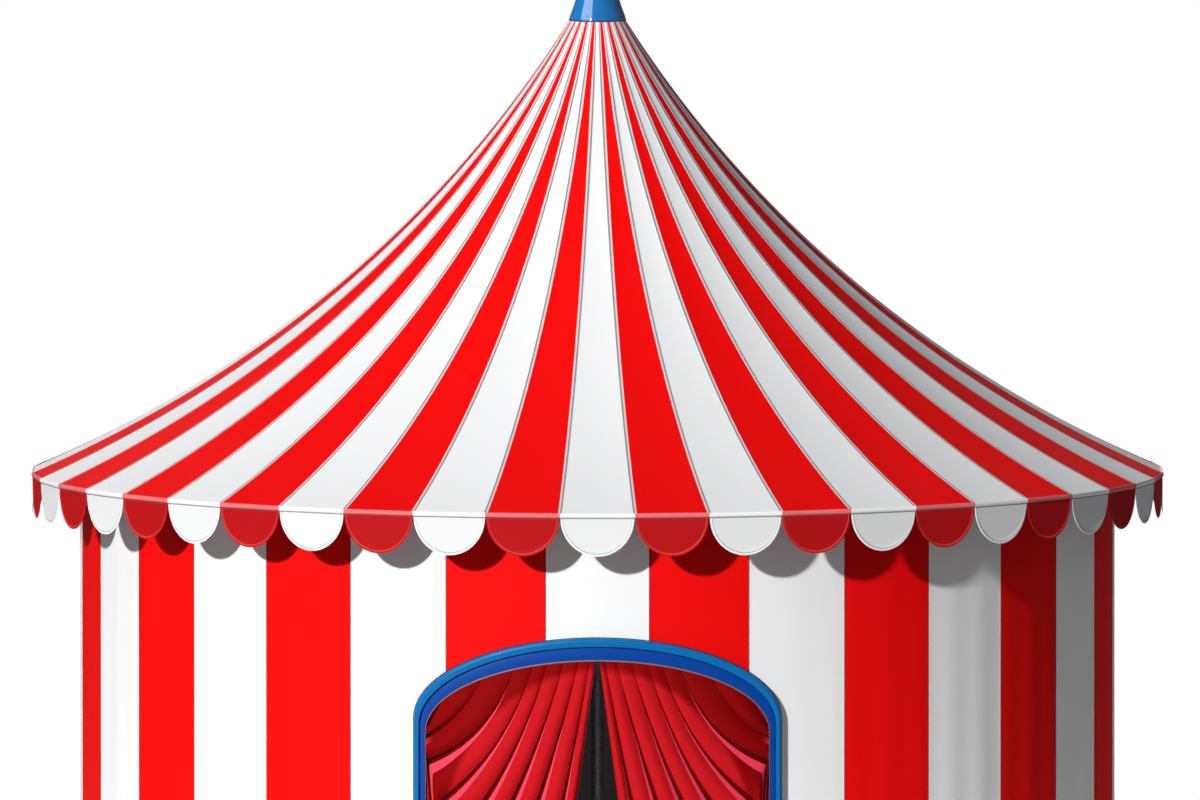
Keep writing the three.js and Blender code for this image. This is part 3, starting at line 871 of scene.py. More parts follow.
tongue = shell("tongue", grid, edge=edges)

# The tongues' darker red and white are painted shade.
cloth = StripedCloth("valance_cloth", VALANCE_SHADED_RED, VALANCE_SHADED_WHITE)
edge = cloth.attribute("edge")
tape = edge < BINDING["width"]
tape_line = abs(edge - BINDING["width"]) < BINDING["line"]
# Where the tongues are sewn on under the welt, a dark line is painted: partly the stitching, partly a
# painted shadow of the welt.
sewn = abs(cloth.v - TONGUE["sewn"]) < 0.0045
cloth.lay(tape, cloth.blend(cloth.white, TAPE_RED, TAPE_WHITE))
cloth.lay(tape_line, cloth.blend(cloth.white, TAPE_LINE_RED, TAPE_LINE_WHITE))
cloth.lay(sewn * 0.75, SEWN_SHADOW_DARK)
valance_cloth = cloth.painted_dark_inside(0.55, tape * 0.5 + cloth.weave * 0.06, 0.001)

for i, place in enumerate(QUARTERS):
    first = FIRST_LACE + (i * QUARTER_GORES + 0.5) * GORE_STEP
    ring = {"count": QUARTER_GORES, "first": first, "step": GORE_STEP, "slot": "valance_cloth"}
    roll = set_round(f"hem_roll_{place}", welt.copy(), material=welt_cloth, **ring)
    node = f"valance_quarter_{i + 1}"
    piece = set_round(
        f"valance_{place}", tongue.copy(), material=valance_cloth, node=node, **ring
    )


# The wall is a ring of the same cloth, red and white in turn, hooked to the rail of the eave ring. It
# hangs almost straight, with soft folds, and has a turned hem that just meets the ground.
WALL = {"radius": 4.5675, "top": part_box("wall_section_1")[1].z, "low": 0.0005, "stripes": 32}
WALL_STEP = 2 * math.pi / WALL["stripes"]
STRIPE_WIDTH = WALL_STEP * WALL["radius"]
WALL_SPANS = (4, 4, 4, 3, 4, 4, 4)
FRONT_SPAN = 5
FRONT_BEARING = math.radians(28.125)
FOLDS = {"per_stripe": 2.5, "depth": 0.0035}
WALL_GRID = {"Rows": 23, "GoreColumns": 20}
WALL_RED = (0.80, 0.0022, 0.0022)
WALL_WHITE = (0.82, 0.825, 0.83)
WALL_SEAM = {"line": 0.009, "stitch": 0.0055, "thread": 0.0013}
WALL_LAP = {"from": 0.020, "to": 0.014, "rise": 0.0014}
WALL_SEAM_RED = (0.16, 0.0, 0.0)
WALL_SEAM_WHITE = (0.95, 0.95, 0.95)
WALL_STITCH = (0.62, 0.60, 0.60)
ROW_GREY = (0.3, 0.3, 0.3)
HOOK_BAND = {"down": 0.045, "half": 0.0016}
HEM = {"height": 0.07, "half": 0.0025}
MUD_HEIGHT = 0.30
MUD_BROWN = (0.30, 0.24, 0.18)

cloth = StripedCloth("wall_cloth", WALL_RED, WALL_WHITE)
height = cloth.height()
from_middle = (cloth.u + STRIPE_WIDTH / 2) % STRIPE_WIDTH - STRIPE_WIDTH / 2
to_seam = STRIPE_WIDTH / 2 - abs(from_middle)
stitch = cloth.stitches(to_seam, WALL_SEAM["stitch"], WALL_SEAM["thread"])
band_row = abs(cloth.v - HOOK_BAND["down"]) < HOOK_BAND["half"]
row = (abs(height - HEM["height"]) < HEM["half"]).least(band_row)
mud = height.fade(MUD_HEIGHT, 0.0) * cloth.noise(0.16, detail=4).fade(0.30, 0.75)
cloth.lay(to_seam < WALL_SEAM["line"], cloth.blend(cloth.white, WALL_SEAM_RED, WALL_SEAM_WHITE))
cloth.lay(stitch * 0.5, WALL_STITCH)
cloth.lay(row * 0.5, ROW_GREY)
cloth.lay(mud * 0.35, MUD_BROWN)
lap = to_seam.fade(WALL_LAP["from"], WALL_LAP["to"])
wall_relief = lap * 0.7 + cloth.weave * 0.05 - (row + stitch) * 0.2
wall_cloth = cloth.painted_dark_inside(0.55, wall_relief, WALL_LAP["rise"])


bearing_now = FRONT_BEARING
stripes_past = FRONT_SPAN
for i, stripes in enumerate(WALL_SPANS):
    piece = grown(
        f"wall_cloth_{i + 1}",
        gored,
        None,
        wall_cloth,
        "wall_cloth",
        f"wall_section_{i + 1}",
        **WALL_GRID,
        Gores=stripes,
        First=bearing_now,
        Step=WALL_STEP,
        TopRadius=WALL["radius"],
        TopHeight=WALL["top"],
        PullRadius=WALL["radius"],
        PullHeight=(WALL["top"] + WALL["low"]) / 2,
        LowRadius=WALL["radius"],
        LowHeight=WALL["low"],
        Length=WALL["top"] - WALL["low"],
        Folds=FOLDS["per_stripe"],
        FoldDepth=FOLDS["depth"],
        Thickness=CLOTH,
        FirstColor=float((stripes_past + 1) % 2),
    )
    bearing_now += stripes * WALL_STEP
    stripes_past += stripes


# In front the wall is cut to the arch of the doorway, in three parts that meet in a cross seam at the
# height of the arch's foot. The door frame clamps its edge, so there it lies flat.
OUTER_ARCH = {"half": 1.5573, "spring": 2.510, "rise": 0.6983}
CROSS_SEAM = 2.390
ARCH_BEARING = math.asin(OUTER_ARCH["half"] / WALL["radius"])
BESIDE_ARCH = ARCH_BEARING + 0.0002
ARCH_COLUMNS = 48
SIDE_COLUMNS = 16
FRONT_ROWS = 14


def front_cloth(name, node, bearings, top, low_at, flat, **cut):
    """A part of the front wall on these bearings, from one height down to a height at each bearing."""
    grid = []
    for i in range(FRONT_ROWS + 1):
        row = []
        for b in bearings:
            across = (b + FRONT_BEARING) / WALL_STEP
            z = top + (low_at(b) - top) * i / FRONT_ROWS
            depth_down = min((top - z) / WALL["top"] + TOP_FOLD_SHARE, 1)
            depth_aside = min(max((abs(b) - ARCH_BEARING) / WALL_STEP, 0), 1)
            fold = FOLDS["depth"] * depth_aside * depth_down
            radius = WALL["radius"] + fold * math.sin(across * FOLDS["per_stripe"] * 2 * math.pi)
            layers = [(r * math.sin(b), -r * math.cos(b), z) for r in (radius, radius - CLOTH)]
            row.append((*layers, ((across - 0.5) * STRIPE_WIDTH, WALL["top"] - z)))
        grid.append(row)
    middles = [(a + b) / 2 for a, b in zip(bearings, bearings[1:])]
    stripes = [(int((b + FRONT_BEARING) / WALL_STEP) + 1) % 2 for b in middles]
    mesh = shell(name, grid, stripes=stripes, painted_dark_inside=True)
    finished(name, mesh, wall_cloth, node)


def arch_height(across, arch):
    """The height of an arch above this distance from its middle."""
    share = min(abs(across) / arch["half"], 1)
    return arch["spring"] + arch["rise"] * math.sqrt(1 - share * share)


def over_door_low(bearing):
    """The low edge of the cloth over the door: along the arch, and beside it the cross seam."""
    if abs(bearing) > ARCH_BEARING + 0.00001:
        return CROSS_SEAM
    return arch_height(WALL["radius"] * math.sin(bearing), OUTER_ARCH)


stripe_edges = [FRONT_BEARING - WALL_STEP * i for i in range(1, FRONT_SPAN)]
side_step = (FRONT_BEARING - BESIDE_ARCH) / SIDE_COLUMNS
side_run = [BESIDE_ARCH + side_step * i for i in range(SIDE_COLUMNS + 1)]
arch_turns = [math.pi * (i / ARCH_COLUMNS - 0.5) for i in range(ARCH_COLUMNS + 1)]
arch_run = [math.asin(math.sin(a) * math.sin(ARCH_BEARING)) for a in arch_turns]
over_bearings = sorted([-b for b in side_run] + arch_run + side_run + stripe_edges)
over_flat = (FRONT_SPAN * STRIPE_WIDTH, WALL["top"] - CROSS_SEAM)
over_area = over_flat[0] * over_flat[1] - OUTER_ARCH["half"] * OUTER_ARCH["rise"] * math.pi / 2
over_area -= 2 * OUTER_ARCH["half"] * (OUTER_ARCH["spring"] - CROSS_SEAM)
front_cloth(
    "wall_over_door",
    "front_wall_over_door",
    over_bearings,
    WALL["top"],
    over_door_low,
    over_flat,
    area=over_area,
)
beside_run = sorted(b for b in [*side_run, stripe_edges[0]] if b > ARCH_BEARING)
beside_flat = ((FRONT_BEARING - ARCH_BEARING) * WALL["radius"], CROSS_SEAM - WALL["low"])
for side, place in ((-1, "left"), (1, "right")):
    front_cloth(
        f"wall_{place}_of_door",
        f"front_wall_{place}",
        sorted(side * b for b in beside_run),
        CROSS_SEAM,
        lambda bearing: WALL["low"],
        beside_flat,
    )


# The wall hangs on the rail by bent wire rings, four to a stripe, closed round the tube. Each passes
# through a pressed eyelet in the stitched band along the wall's top.
RAIL = {"radius": 4.565, "height": 4.3727}
RING = {"count": 128, "half_wide": 0.0295, "half_high": 0.0425, "drop": 0.010, "wire": 0.0025}
EYELET = {"half_wide": 0.0068, "half_high": 0.0068, "wire": 0.0022, "deep": 1.9, "back": 0.001}
RING_STEPS = 20
EYELET_STEPS = 14
WIRE_SIDES = 6


def wire_loop(centre, loop, steps, lying):
    """The points of a closed loop of wire, upright along the radius or lying in the wall's face."""
    spots = []
    for i in range(steps):
        a = 2 * math.pi * i / steps
        for j in range(WIRE_SIDES):
            b = 2 * math.pi * j / WIRE_SIDES
            wide = (loop["half_wide"] + loop["wire"] * math.cos(b)) * math.cos(a)
            high = (loop["half_high"] + loop["wire"] * math.cos(b)) * math.sin(a)
            thick = -loop["wire"] * math.sin(b)
            if lying:
                spots.append(centre + Vector((wide, -thick * loop["deep"], high)))
            else:
                spots.append(centre + Vector((thick, wide, high)))
    return spots


ring_centre = Vector((0, -RAIL["radius"], RAIL["height"] - RING["drop"]))
eyelet_centre = ring_centre - Vector((0, EYELET["back"], RING["half_high"]))
ring_spots = wire_loop(ring_centre, RING, RING_STEPS, lying=False)
ring_faces = rings_joined(RING_STEPS, WIRE_SIDES, closed=True)
ring_faces += rings_joined(EYELET_STEPS, WIRE_SIDES, closed=True, start=len(ring_spots))
ring_spots += wire_loop(eyelet_centre, EYELET, EYELET_STEPS, lying=True)
wall_ring = plain_mesh("wall_ring", ring_spots, ring_faces)
set_round("wall_rings", wall_ring, RING["count"], math.pi / RING["count"], steel, "tent_steel")


# The door frame is two bent steel arches, painted in gloss blue. The dark lining passes through the
# wall, with a plastic trim over its front edge, and the lighter moulding is screwed on round it, with a
# rubber strip under its outer edge.
CLEAR_ARCH = {"half": 1.500, "spring": 2.450, "rise": 0.638}
LINING_ARCH = {"half": 1.557, "spring": 2.510, "rise": 0.698}
INNER_MOULDING_ARCH = {**LINING_ARCH, "half": 1.5573}
MOULDING_ARCH = {"half": 1.603, "spring": 2.555, "rise": 0.729}
GASKET_ARCH = {"half": 1.609, "spring": 2.561, "rise": 0.729}
FRAME_FOOT = 0.0005
ARCH_STEPS = 96
POST_STEPS = 8
MOULDING_BLUE = (0.0, 0.138, 0.40)
MOULDING_WORN = (0.05, 0.12, 0.24)
LINING_BLUE = (0.0, 0.050, 0.295)
LINING_WORN = (0.04, 0.07, 0.18)
RUBBER_DARK = (0.012, 0.010, 0.016)
RUBBER_WORN = (0.05, 0.05, 0.06)
TRIM_BROWN = (0.16, 0.13, 0.13)
TRIM_WORN = (0.24, 0.20, 0.19)
SCUFF_HEIGHT = 1.6
MOULDING_SECTION = [(0, 4.5703), (0, 4.640), (0.03, 4.646), (0.10, 4.6505), (0.22, 4.6525)]
MOULDING_SECTION += [(0.34, 4.6515), (0.42, 4.6545), (0.66, 4.655), (0.84, 4.6525), (0.94, 4.6475)]
MOULDING_SECTION += [(1, 4.640), (1, 4.5703)]
LINING_SECTION = [(0, 4.480), (0, 4.6215), (0.02, 4.6238), (0.07, 4.625), (0.93, 4.625)]
LINING_SECTION += [(0.98, 4.6238), (1, 4.6215), (1, 4.480)]
GASKET_SECTION = [(0, 4.5703), (0, 4.574), (0.25, 4.578), (0.6, 4.5775), (1, 4.5735), (1, 4.5703)]
TRIM_SECTION = [(-0.02, 4.612), (-0.045, 4.618), (-0.045, 4.626), (0.0, 4.6292), (0.048, 4.6275)]
TRIM_SECTION += [(0.056, 4.6253), (0.0, 4.6253), (0.0, 4.612)]


def arch_line(arch, foot=FRAME_FOOT):
    """Points (across, height) of an arch from its left foot over the crown to its right foot."""
    half, spring, rise = arch["half"], arch["spring"], arch["rise"]
    post = [(half, foot + (spring - foot) * i / POST_STEPS) for i in range(POST_STEPS)]
    turns = [math.pi * i / ARCH_STEPS for i in range(ARCH_STEPS + 1)]
    bow = [(-half * math.cos(a), spring + rise * math.sin(a)) for a in turns]
    return [(-x, z) for x, z in post] + bow + list(reversed(post))


def on_round(across, radius, height):
    """A point at a radius from the tent's axis, as far across as it is seen from the front."""
    return (across, -math.sqrt(radius * radius - across * across), height)


def bent_frame(name, inside, outside, section, material, node=None):
    """A bar bent between two arches, with a section of (share from inside to outside, radius)."""
    sections = []
    for (x0, z0), (x1, z1) in zip(arch_line(inside), arch_line(outside)):
        spots = [(x0 + (x1 - x0) * share, radius, z0 + (z1 - z0) * share) for share, radius in section]
        sections.append([on_round(*spot) for spot in spots])
    mesh = bar(name, sections)
    mesh.flip_normals()
    finished(name, mesh, material, node)


def gloss_blue(name, blue, worn):
    """Brushed gloss paint over steel, with scuffs low down and along the posts."""
    paint = Finish(name)
    low_down = paint.height().fade(SCUFF_HEIGHT, 0.0)
    brushed = paint.noise(0.03, stretch=(3, 3, 0.3))
    scuffs = paint.noise(0.018, detail=6).fade(0.60, 0.74) * (low_down * 0.7 + 0.15)
    cloud = paint.noise(0.25)
    return paint.surface(
        {
            "Base Color": paint.blend(scuffs + cloud * 0.08, blue, worn),
            "Roughness": 0.34 + brushed * 0.1 + scuffs * 0.3,
            "Specular IOR Level": 0.12,
            "Coat Weight": 0.06 - scuffs * 0.05,
        },
        relief=brushed * 0.5 + scuffs,
        depth=0.0003,
    )


def dull_strip(name, lumps, color, worn, roughness):
    """Dull rubber or plastic with lighter worn patches of about this size."""
    strip = Finish(name)
    wear = strip.noise(lumps)
    color = strip.blend(wear * 0.4, color, worn)
    sockets = {"Base Color": color, "Roughness": roughness + wear * 0.2}
    return strip.surface(sockets, relief=wear, depth=0.0003)


moulding_paint = gloss_blue("moulding_paint", MOULDING_BLUE, MOULDING_WORN)
lining_paint = gloss_blue("lining_paint", LINING_BLUE, LINING_WORN)
rubber_strip = dull_strip("rubber_strip", 0.02, RUBBER_DARK, RUBBER_WORN, 0.6)
edge_trim = dull_strip("edge_trim", 0.03, TRIM_BROWN, TRIM_WORN, 0.45)
bent_frame(
    "door_frame_moulding",
    INNER_MOULDING_ARCH,
    MOULDING_ARCH,
    MOULDING_SECTION,
    moulding_paint,
    "door_moulding",
)
bent_frame(
    "door_frame_lining",
    CLEAR_ARCH,
    LINING_ARCH,
    LINING_SECTION,
    lining_paint,
    "door_lining",
)
bent_frame(
    "door_frame_gasket", MOULDING_ARCH, GASKET_ARCH, GASKET_SECTION, rubber_strip
)
bent_frame(
    "door_frame_edge_trim", CLEAR_ARCH, LINING_ARCH, TRIM_SECTION, edge_trim
)
dress_node("curtain_track", steel)

# Dome-headed screws stand at equal steps along a line, each square to the round of the wall.
SCREWS = {"spacing": 0.30, "radius": 0.0065, "height": 0.0028}
SCREW_ROW = {"from_foot": 0.15, "radius": 4.6545, "outward": 0.0005}

studded, given = node_tree("screws_along", [], ["Spacing", "Radius", "Height"])
line = studded.add("GeometryNodeMeshToCurve", {"Mesh": given["Geometry"]})
spots = studded.add(
    "GeometryNodeResampleCurve", {"Curve": line, "Length": given["Spacing"]}, mode="LENGTH"
)
spot = studded.add("GeometryNodeInputPosition")
outward = studded.add("ShaderNodeVectorMath", {0: spot, 1: (1, 1, 0)}, operation="MULTIPLY")
facing = studded.add("FunctionNodeAlignRotationToVector", {"Vector": outward}, axis="Z")
dome = studded.add("GeometryNodeMeshUVSphere", {"Segments": 10, "Rings": 6, "Radius": 1.0})
size = studded.add(
    "ShaderNodeCombineXYZ", {"X": given["Radius"], "Y": given["Radius"], "Z": given["Height"]}
)
heads = studded.add(
    "GeometryNodeInstanceOnPoints",
    {"Points": spots, "Instance": dome, "Rotation": facing, "Scale": size},
)
ended(studded, heads, given["Material"])


def set_along(name, spots, heads, material, slot):
    """The finished piece of like dome heads along a line of points."""
    line = plain_mesh(name, spots, [], [(i, i + 1) for i in range(len(spots) - 1)])
    sizes = {"Spacing": heads["spacing"], "Radius": heads["radius"], "Height": heads["height"]}
    return grown(name, studded, line, material, slot, **sizes)


screw_lines = [arch_line(arch, SCREW_ROW["from_foot"]) for arch in (LINING_ARCH, MOULDING_ARCH)]
screw_spots = []
for (x0, z0), (x1, z1) in zip(*screw_lines):
    x = (x0 + x1) / 2 + math.copysign(SCREW_ROW["outward"], x1)
    screw_spots.append(on_round(x, SCREW_ROW["radius"], (z0 + z1) / 2))
set_along("door_frame_screws", screw_spots, SCREWS, moulding_paint, "frame_blue")


# Two heavy velvet curtains hang in pleats from the track behind the frame. Each fans out from the
# crown in nine pleats, is drawn aside at the waist by its tie-back, and falls to the floor from there.
CURTAIN = {"radius": 4.4588, "cloth": 0.004, "set_back": 0.006}
PLEATS = 9
TRACK_ARCH = {"half": 1.550, "spring": 2.500, "rise": 0.665}
TOPS = [0.003, 0.050, 0.140, 0.270, 0.410, 0.540, 0.700, 0.950, 1.250, 1.550]
PULLS = [(0.0915, 2.50), (0.160, 2.50), (0.300, 2.48), (0.450, 2.45), (0.610, 2.40)]
PULLS += [(0.740, 2.33), (0.900, 2.38), (1.150, 2.55), (1.400, 2.62), (1.550, 2.45)]
ENDS = [(0.180, 1.84), (0.296, 1.84), (0.517, 1.84), (0.738, 1.84), (0.976, 1.84)]
ENDS += [(1.330, 1.84), (1.485, 2.17), (1.510, 2.38), (1.532, 2.44), (1.550, 2.40)]
POST_SIDE = {"from": 0.5, "over": 0.16}
BELLY = {"reach": 0.515, "less": 0.57, "least": 0.13, "swing": 0.455, "lift": 0.115, "more": 0.25}
WAIST = {"inner": 1.215, "outer": 1.550, "height": 1.075}
TAIL = {"swing": 0.06, "drop": 0.315, "flare": 0.02, "straight": 0.400}
FLOOR_END = {"inner": 1.000, "outer": 1.550, "height": 0.012}
FLAT_WIDTH = 1.85
FLAT_LENGTH = 3.25
PLEAT_PLACES = [0, 0.04, 0.09, 0.16, 0.25, 0.35, 0.45, 0.55, 0.65, 0.75, 0.84, 0.91, 0.96]
PLEAT_DEPTHS = [(0, 0.010), (1, 0.075), (2, 0.050), (2 + 2 / 3, 0.080), (3, 0.080)]
PLEAT_LEAN = 0.85
PLEAT_ROUND = 0.8
EDGE_RIDGE = 0.35
SWAY = {"depth": 0.005, "down": 7.0, "across": 11.0}
UPPER_ROWS = 28
BELLY_ROWS = 26
TAIL_ROWS = 18


def curve_point(points, t):
    """The point at t from 0 to 1 on the Bezier curve with these control points."""
    while len(points) > 1:
        steps = zip(points, points[1:])
        points = [(a[0] + (b[0] - a[0]) * t, a[1] + (b[1] - a[1]) * t) for a, b in steps]
    return points[0]


def between_lines(values, across):
    """A value between those of two pleat lines, for a place across the curtain from 0 to 1."""
    line = min(int(across * PLEATS), PLEATS - 1)
    share = across * PLEATS - line
    if isinstance(values[0], tuple):
        return tuple(a + (b - a) * share for a, b in zip(values[line], values[line + 1]))
    return values[line] + (values[line + 1] - values[line]) * share


def gathered(edge, across):
    """Where a thread passes the waist or the floor."""
    return (edge["inner"] + (edge["outer"] - edge["inner"]) * across, edge["height"])


def curtain_line(across):
    """One thread of the curtain from the track to the floor, as (across, height) points."""
    top_x = between_lines(TOPS, across)
    top = (top_x, arch_height(top_x, TRACK_ARCH))
    pull = between_lines(PULLS, across)
    end = between_lines(ENDS, across)
    waist = gathered(WAIST, across)
    foot = gathered(FLOOR_END, across)
    run = math.hypot(end[0] - pull[0], end[1] - pull[1])
    by_post = min(max((across - POST_SIDE["from"]) / POST_SIDE["over"], 0), 1)
    aside = (end[0] - pull[0]) / run * (1 - by_post)
    fall = (end[1] - pull[1]) / run * (1 - by_post) - by_post
    reach = max(BELLY["reach"] - BELLY["less"] * across, BELLY["least"])
    belly_1 = (end[0] + aside * reach, end[1] + fall * reach)
    belly_2_across = waist[0] - BELLY["swing"] * (1 - across) ** 2
    belly_2 = (belly_2_across, waist[1] + BELLY["lift"] + BELLY["more"] * across)
    tail_1 = (waist[0] - TAIL["swing"] * (1 - across), waist[1] - TAIL["drop"])
    tail_2 = (foot[0] + TAIL["flare"] * (1 - across), TAIL["straight"])
    points = []
    for curve, rows in (
        ([top, pull, end], UPPER_ROWS),
        ([end, belly_1, belly_2, waist], BELLY_ROWS),
        ([waist, tail_1, tail_2, foot], TAIL_ROWS),
    ):
        points += [curve_point(curve, i / rows) for i in range(rows)]
    return [*points, foot]


def pleat_depth(down):
    """How deep the pleats stand, for a place down the curtain from 0 to 3."""
    for (start, shallow), (end, deep) in zip(PLEAT_DEPTHS, PLEAT_DEPTHS[1:]):
        if down <= end:
            return shallow + (deep - shallow) * (down - start) / (end - start)


places_across = [(i + p) / PLEATS for i in range(PLEATS) for p in PLEAT_PLACES] + [1.0]
threads = [curtain_line(across) for across in places_across]
places_down = [i / UPPER_ROWS for i in range(UPPER_ROWS)]
places_down += [1 + i / BELLY_ROWS for i in range(BELLY_ROWS)]
places_down += [2 + i / TAIL_ROWS for i in range(TAIL_ROWS + 1)]
grid = []
for i, down in enumerate(places_down):
    row = []
    for across, thread in zip(places_across, threads):
        x, z = thread[i]
        ridge = abs(math.sin(math.pi * (across * PLEATS % 1.0) ** PLEAT_LEAN)) ** PLEAT_ROUND
        if across in (0.0, 1.0):
            ridge = EDGE_RIDGE
        sway = math.sin(SWAY["down"] * z + SWAY["across"] * across) * min(down, 1)
        radius = CURTAIN["radius"] - CURTAIN["set_back"] - pleat_depth(down) * (1 - ridge)
        radius += SWAY["depth"] * sway
        layers = [on_round(x, r, z) for r in (radius, radius - CURTAIN["cloth"])]
        flat_down = FLAT_LENGTH * i / (len(places_down) - 1)
        row.append((*layers, (across * FLAT_WIDTH, flat_down)))
    grid.append(row)

# The velvet is painted brighter in an oval round the parting and darker outside it, a painted light and
# shade. Each pleat line has a dark line painted along its crease, a painted shade that widens down to
# the belly, and beside it a pale blade, a painted highlight, runs down from where the pleat opens.
LIT_OVAL = {"half": 1.40, "foot": 1.30, "rise": 1.70}
CURTAIN_RED = (0.53, 0.0070, 0.0115)
CURTAIN_SHADE_AND_NAP = (0.235, 0.0, 0.0005)
CREASE_SHADE_AND_STITCH_DARK = (0.10, 0.0, 0.0)
BLADE_HIGHLIGHT_PINK = (1.0, 0.060, 0.115)
EDGE_TAPE = (0.10, 0.06, 0.05)
SHEEN_PINK = (1.0, 0.25, 0.3, 1)
CREASE = {"top": 0.022, "more": 0.075, "until": 1.2, "first": 0.5, "last": 6.5}
BLADE = {"from": 0.62, "earlier": 0.075, "over": 0.75, "wide": 0.30, "last": 6.0}
HEADING_ROWS = (0.035, 0.075)
CURTAIN_HEM = 0.06
CORD_PITCH = 0.006

cloth = Finish("curtain_velvet")
u, v = cloth.flat_place()
down = cloth.attribute("down")
x, z = cloth.add("ShaderNodeSeparateXYZ", {0: cloth.place}, output=(0, 2))
cloud = cloth.noise(0.15)
nap = cloth.noise(0.004, detail=4, stretch=(1, 1, 0.25))
# Painted light and shade: inside the oval the velvet is painted brighter red, outside it darker. The
# same dark red also takes the nap's and the cloth's random darker tone.
rise = ((z - LIT_OVAL["foot"]) / LIT_OVAL["rise"]).least(0.0)
spread = x / LIT_OVAL["half"]
lit = (spread * spread + rise * rise).sqrt().fade(1.02, 0.97)
velvet = cloth.blend(lit, CURTAIN_SHADE_AND_NAP, CURTAIN_RED)
velvet = cloth.blend(cloud * 0.12 + nap * 0.15, velvet, CURTAIN_SHADE_AND_NAP)
place = u * (PLEATS / FLAT_WIDTH)
share = place % 1.0
# Painted shade: a dark line is painted along each pleat's crease, widening downwards.
from_crease = 0.5 - abs(share - 0.5)
above_belly = down.fade(1.1, 0.9)
crease_half = (down.most(CREASE["until"]) * CREASE["more"] + CREASE["top"]) * down.fade(0.03, 0.35)
creased = (place > CREASE["first"]) * (1 - (place > CREASE["last"]) * above_belly)
crease = (from_crease / crease_half.least(0.002)).fade(1.15, 0.75) * creased
# Painted highlight: a pale pink blade is painted beside each crease, on its lower part.
past_crease = 1 - share - crease_half
opened = (down - BLADE["from"] + place * BLADE["earlier"]).least(0.0).most(BLADE["over"])
blade_wide = opened * BLADE["wide"]
blade = (past_crease > 0.0) * (past_crease / blade_wide.least(0.001)).fade(1.0, 0.85)
blade = blade * (blade_wide > 0.004) * (1 - (place > BLADE["last"]) * above_belly)
velvet = cloth.blend(blade * 0.9, velvet, BLADE_HIGHLIGHT_PINK)
velvet = cloth.blend(crease * 0.9, velvet, CREASE_SHADE_AND_STITCH_DARK)
# The stitched heading rows and hem are sewn in the same dark red as the painted crease shade.
heading = [abs(v - down_to) < 0.002 for down_to in HEADING_ROWS]
hem = abs(v - FLAT_LENGTH + CURTAIN_HEM) < 0.003
sewn = hem.least(heading[0]).least(heading[1]) * 0.6
velvet = cloth.blend(sewn, velvet, CREASE_SHADE_AND_STITCH_DARK)
velvet = cloth.blend((u < 0.006) * 0.7, velvet, EDGE_TAPE)
cords = (u * (2 * math.pi / CORD_PITCH)).sin() * 0.5 + 0.5
curtain_cloth = cloth.surface(
    {
        "Base Color": velvet,
        "Roughness": 0.72 + nap * 0.15,
        "Specular IOR Level": 0.08,
        "Sheen Weight": 0.10,
        "Sheen Roughness": 0.35,
        "Sheen Tint": SHEEN_PINK,
    },
    relief=nap * 0.5 + cords * 0.3 - sewn,
    depth=0.0012,
)

lit_alone, shading = (bpy.data.collections.new(f"curtains_{use}") for use in ("lit", "shading"))
left_out = bpy.data.collections.new("curtains_left_out")
for place in ("right", "left"):
    drape_grid = grid
    if place == "left":
        drape_grid = []
        for row in grid:
            mirrored = [[(-x, y, z) for x, y, z in layers] + [flat] for *layers, flat in row]
            drape_grid.append(mirrored[::-1])
    downs = [[down] * len(places_across) for down in places_down]
    drape = shell(f"curtain_{place}", drape_grid, down=downs)
    piece = finished(f"curtain_{place}", drape, curtain_cloth, f"door_curtain_{place}")
    for group in (lit_alone, shading, left_out):
        group.objects.link(piece)

# A lamp like the key light lights the curtains in its place, and only they and their tie-backs shade
# it, so that the door frame's shadow doesn't hide their upper corners.
curtain_key = sun("curtain_key", **SUNS["key"])
curtain_key.light_linking.receiver_collection = lit_alone
curtain_key.light_linking.blocker_collection = shading
lamps["key"].light_linking.receiver_collection = left_out
for member in left_out.collection_objects:
    member.light_linking.link_state = "EXCLUDE"


# Dome-headed studs of galvanised steel hold the curtains' stitched heading to the track. They are
# driven in at equal steps along the inside of the arch.
STUD_ARCH = {"half": 1.515, "spring": 2.500, "rise": 0.628}
STUDS = {"spacing": 0.12, "radius": 0.009, "height": 0.008}
STUD_ROW = {"radius": 4.438, "aside": 0.012}
stud_spots = []
for i in range(2, ARCH_STEPS - 1):
    a = math.pi * i / ARCH_STEPS
    x = STUD_ROW["aside"] - STUD_ARCH["half"] * math.cos(a)
    z = STUD_ARCH["spring"] + STUD_ARCH["rise"] * math.sin(a)
    stud_spots.append(on_round(x, STUD_ROW["radius"], z))
set_along("curtain_studs", stud_spots, STUDS, steel, "tent_steel")


# A padded band of blue braid with gold edges loops round each curtain at the waist, and its two ends
# hang on a knob on the frame. The knob is turned steel, painted with the frame.
BAND = {"inner": 1.186, "outer": 1.556, "low": 1.030, "lift": 0.060, "thick": 0.0075, "dip": 0.008}
BAND_HEIGHTS = {"inner": 0.100, "outer": 0.050}
BAND_RADII = {"front": 4.4645, "back": 4.3575}
BAND_BLUE = (0.0, 0.11, 0.40)
BAND_DARK = (0.0, 0.04, 0.16)
BAND_GOLD = (0.55, 0.36, 0.08)
PLAIT = {"pitch": 0.02, "slant": 14, "edge": 0.40}
LOOP_STEPS = 14
PAD_SECTION = [(-0.5, 0), (-0.47, 0.35), (-0.36, 0.5), (0, 0.62), (0.36, 0.5), (0.47, 0.35), (0.5, 0)]
PAD_SECTION += [(0.47, -0.3), (0, -0.38), (-0.47, -0.3)]


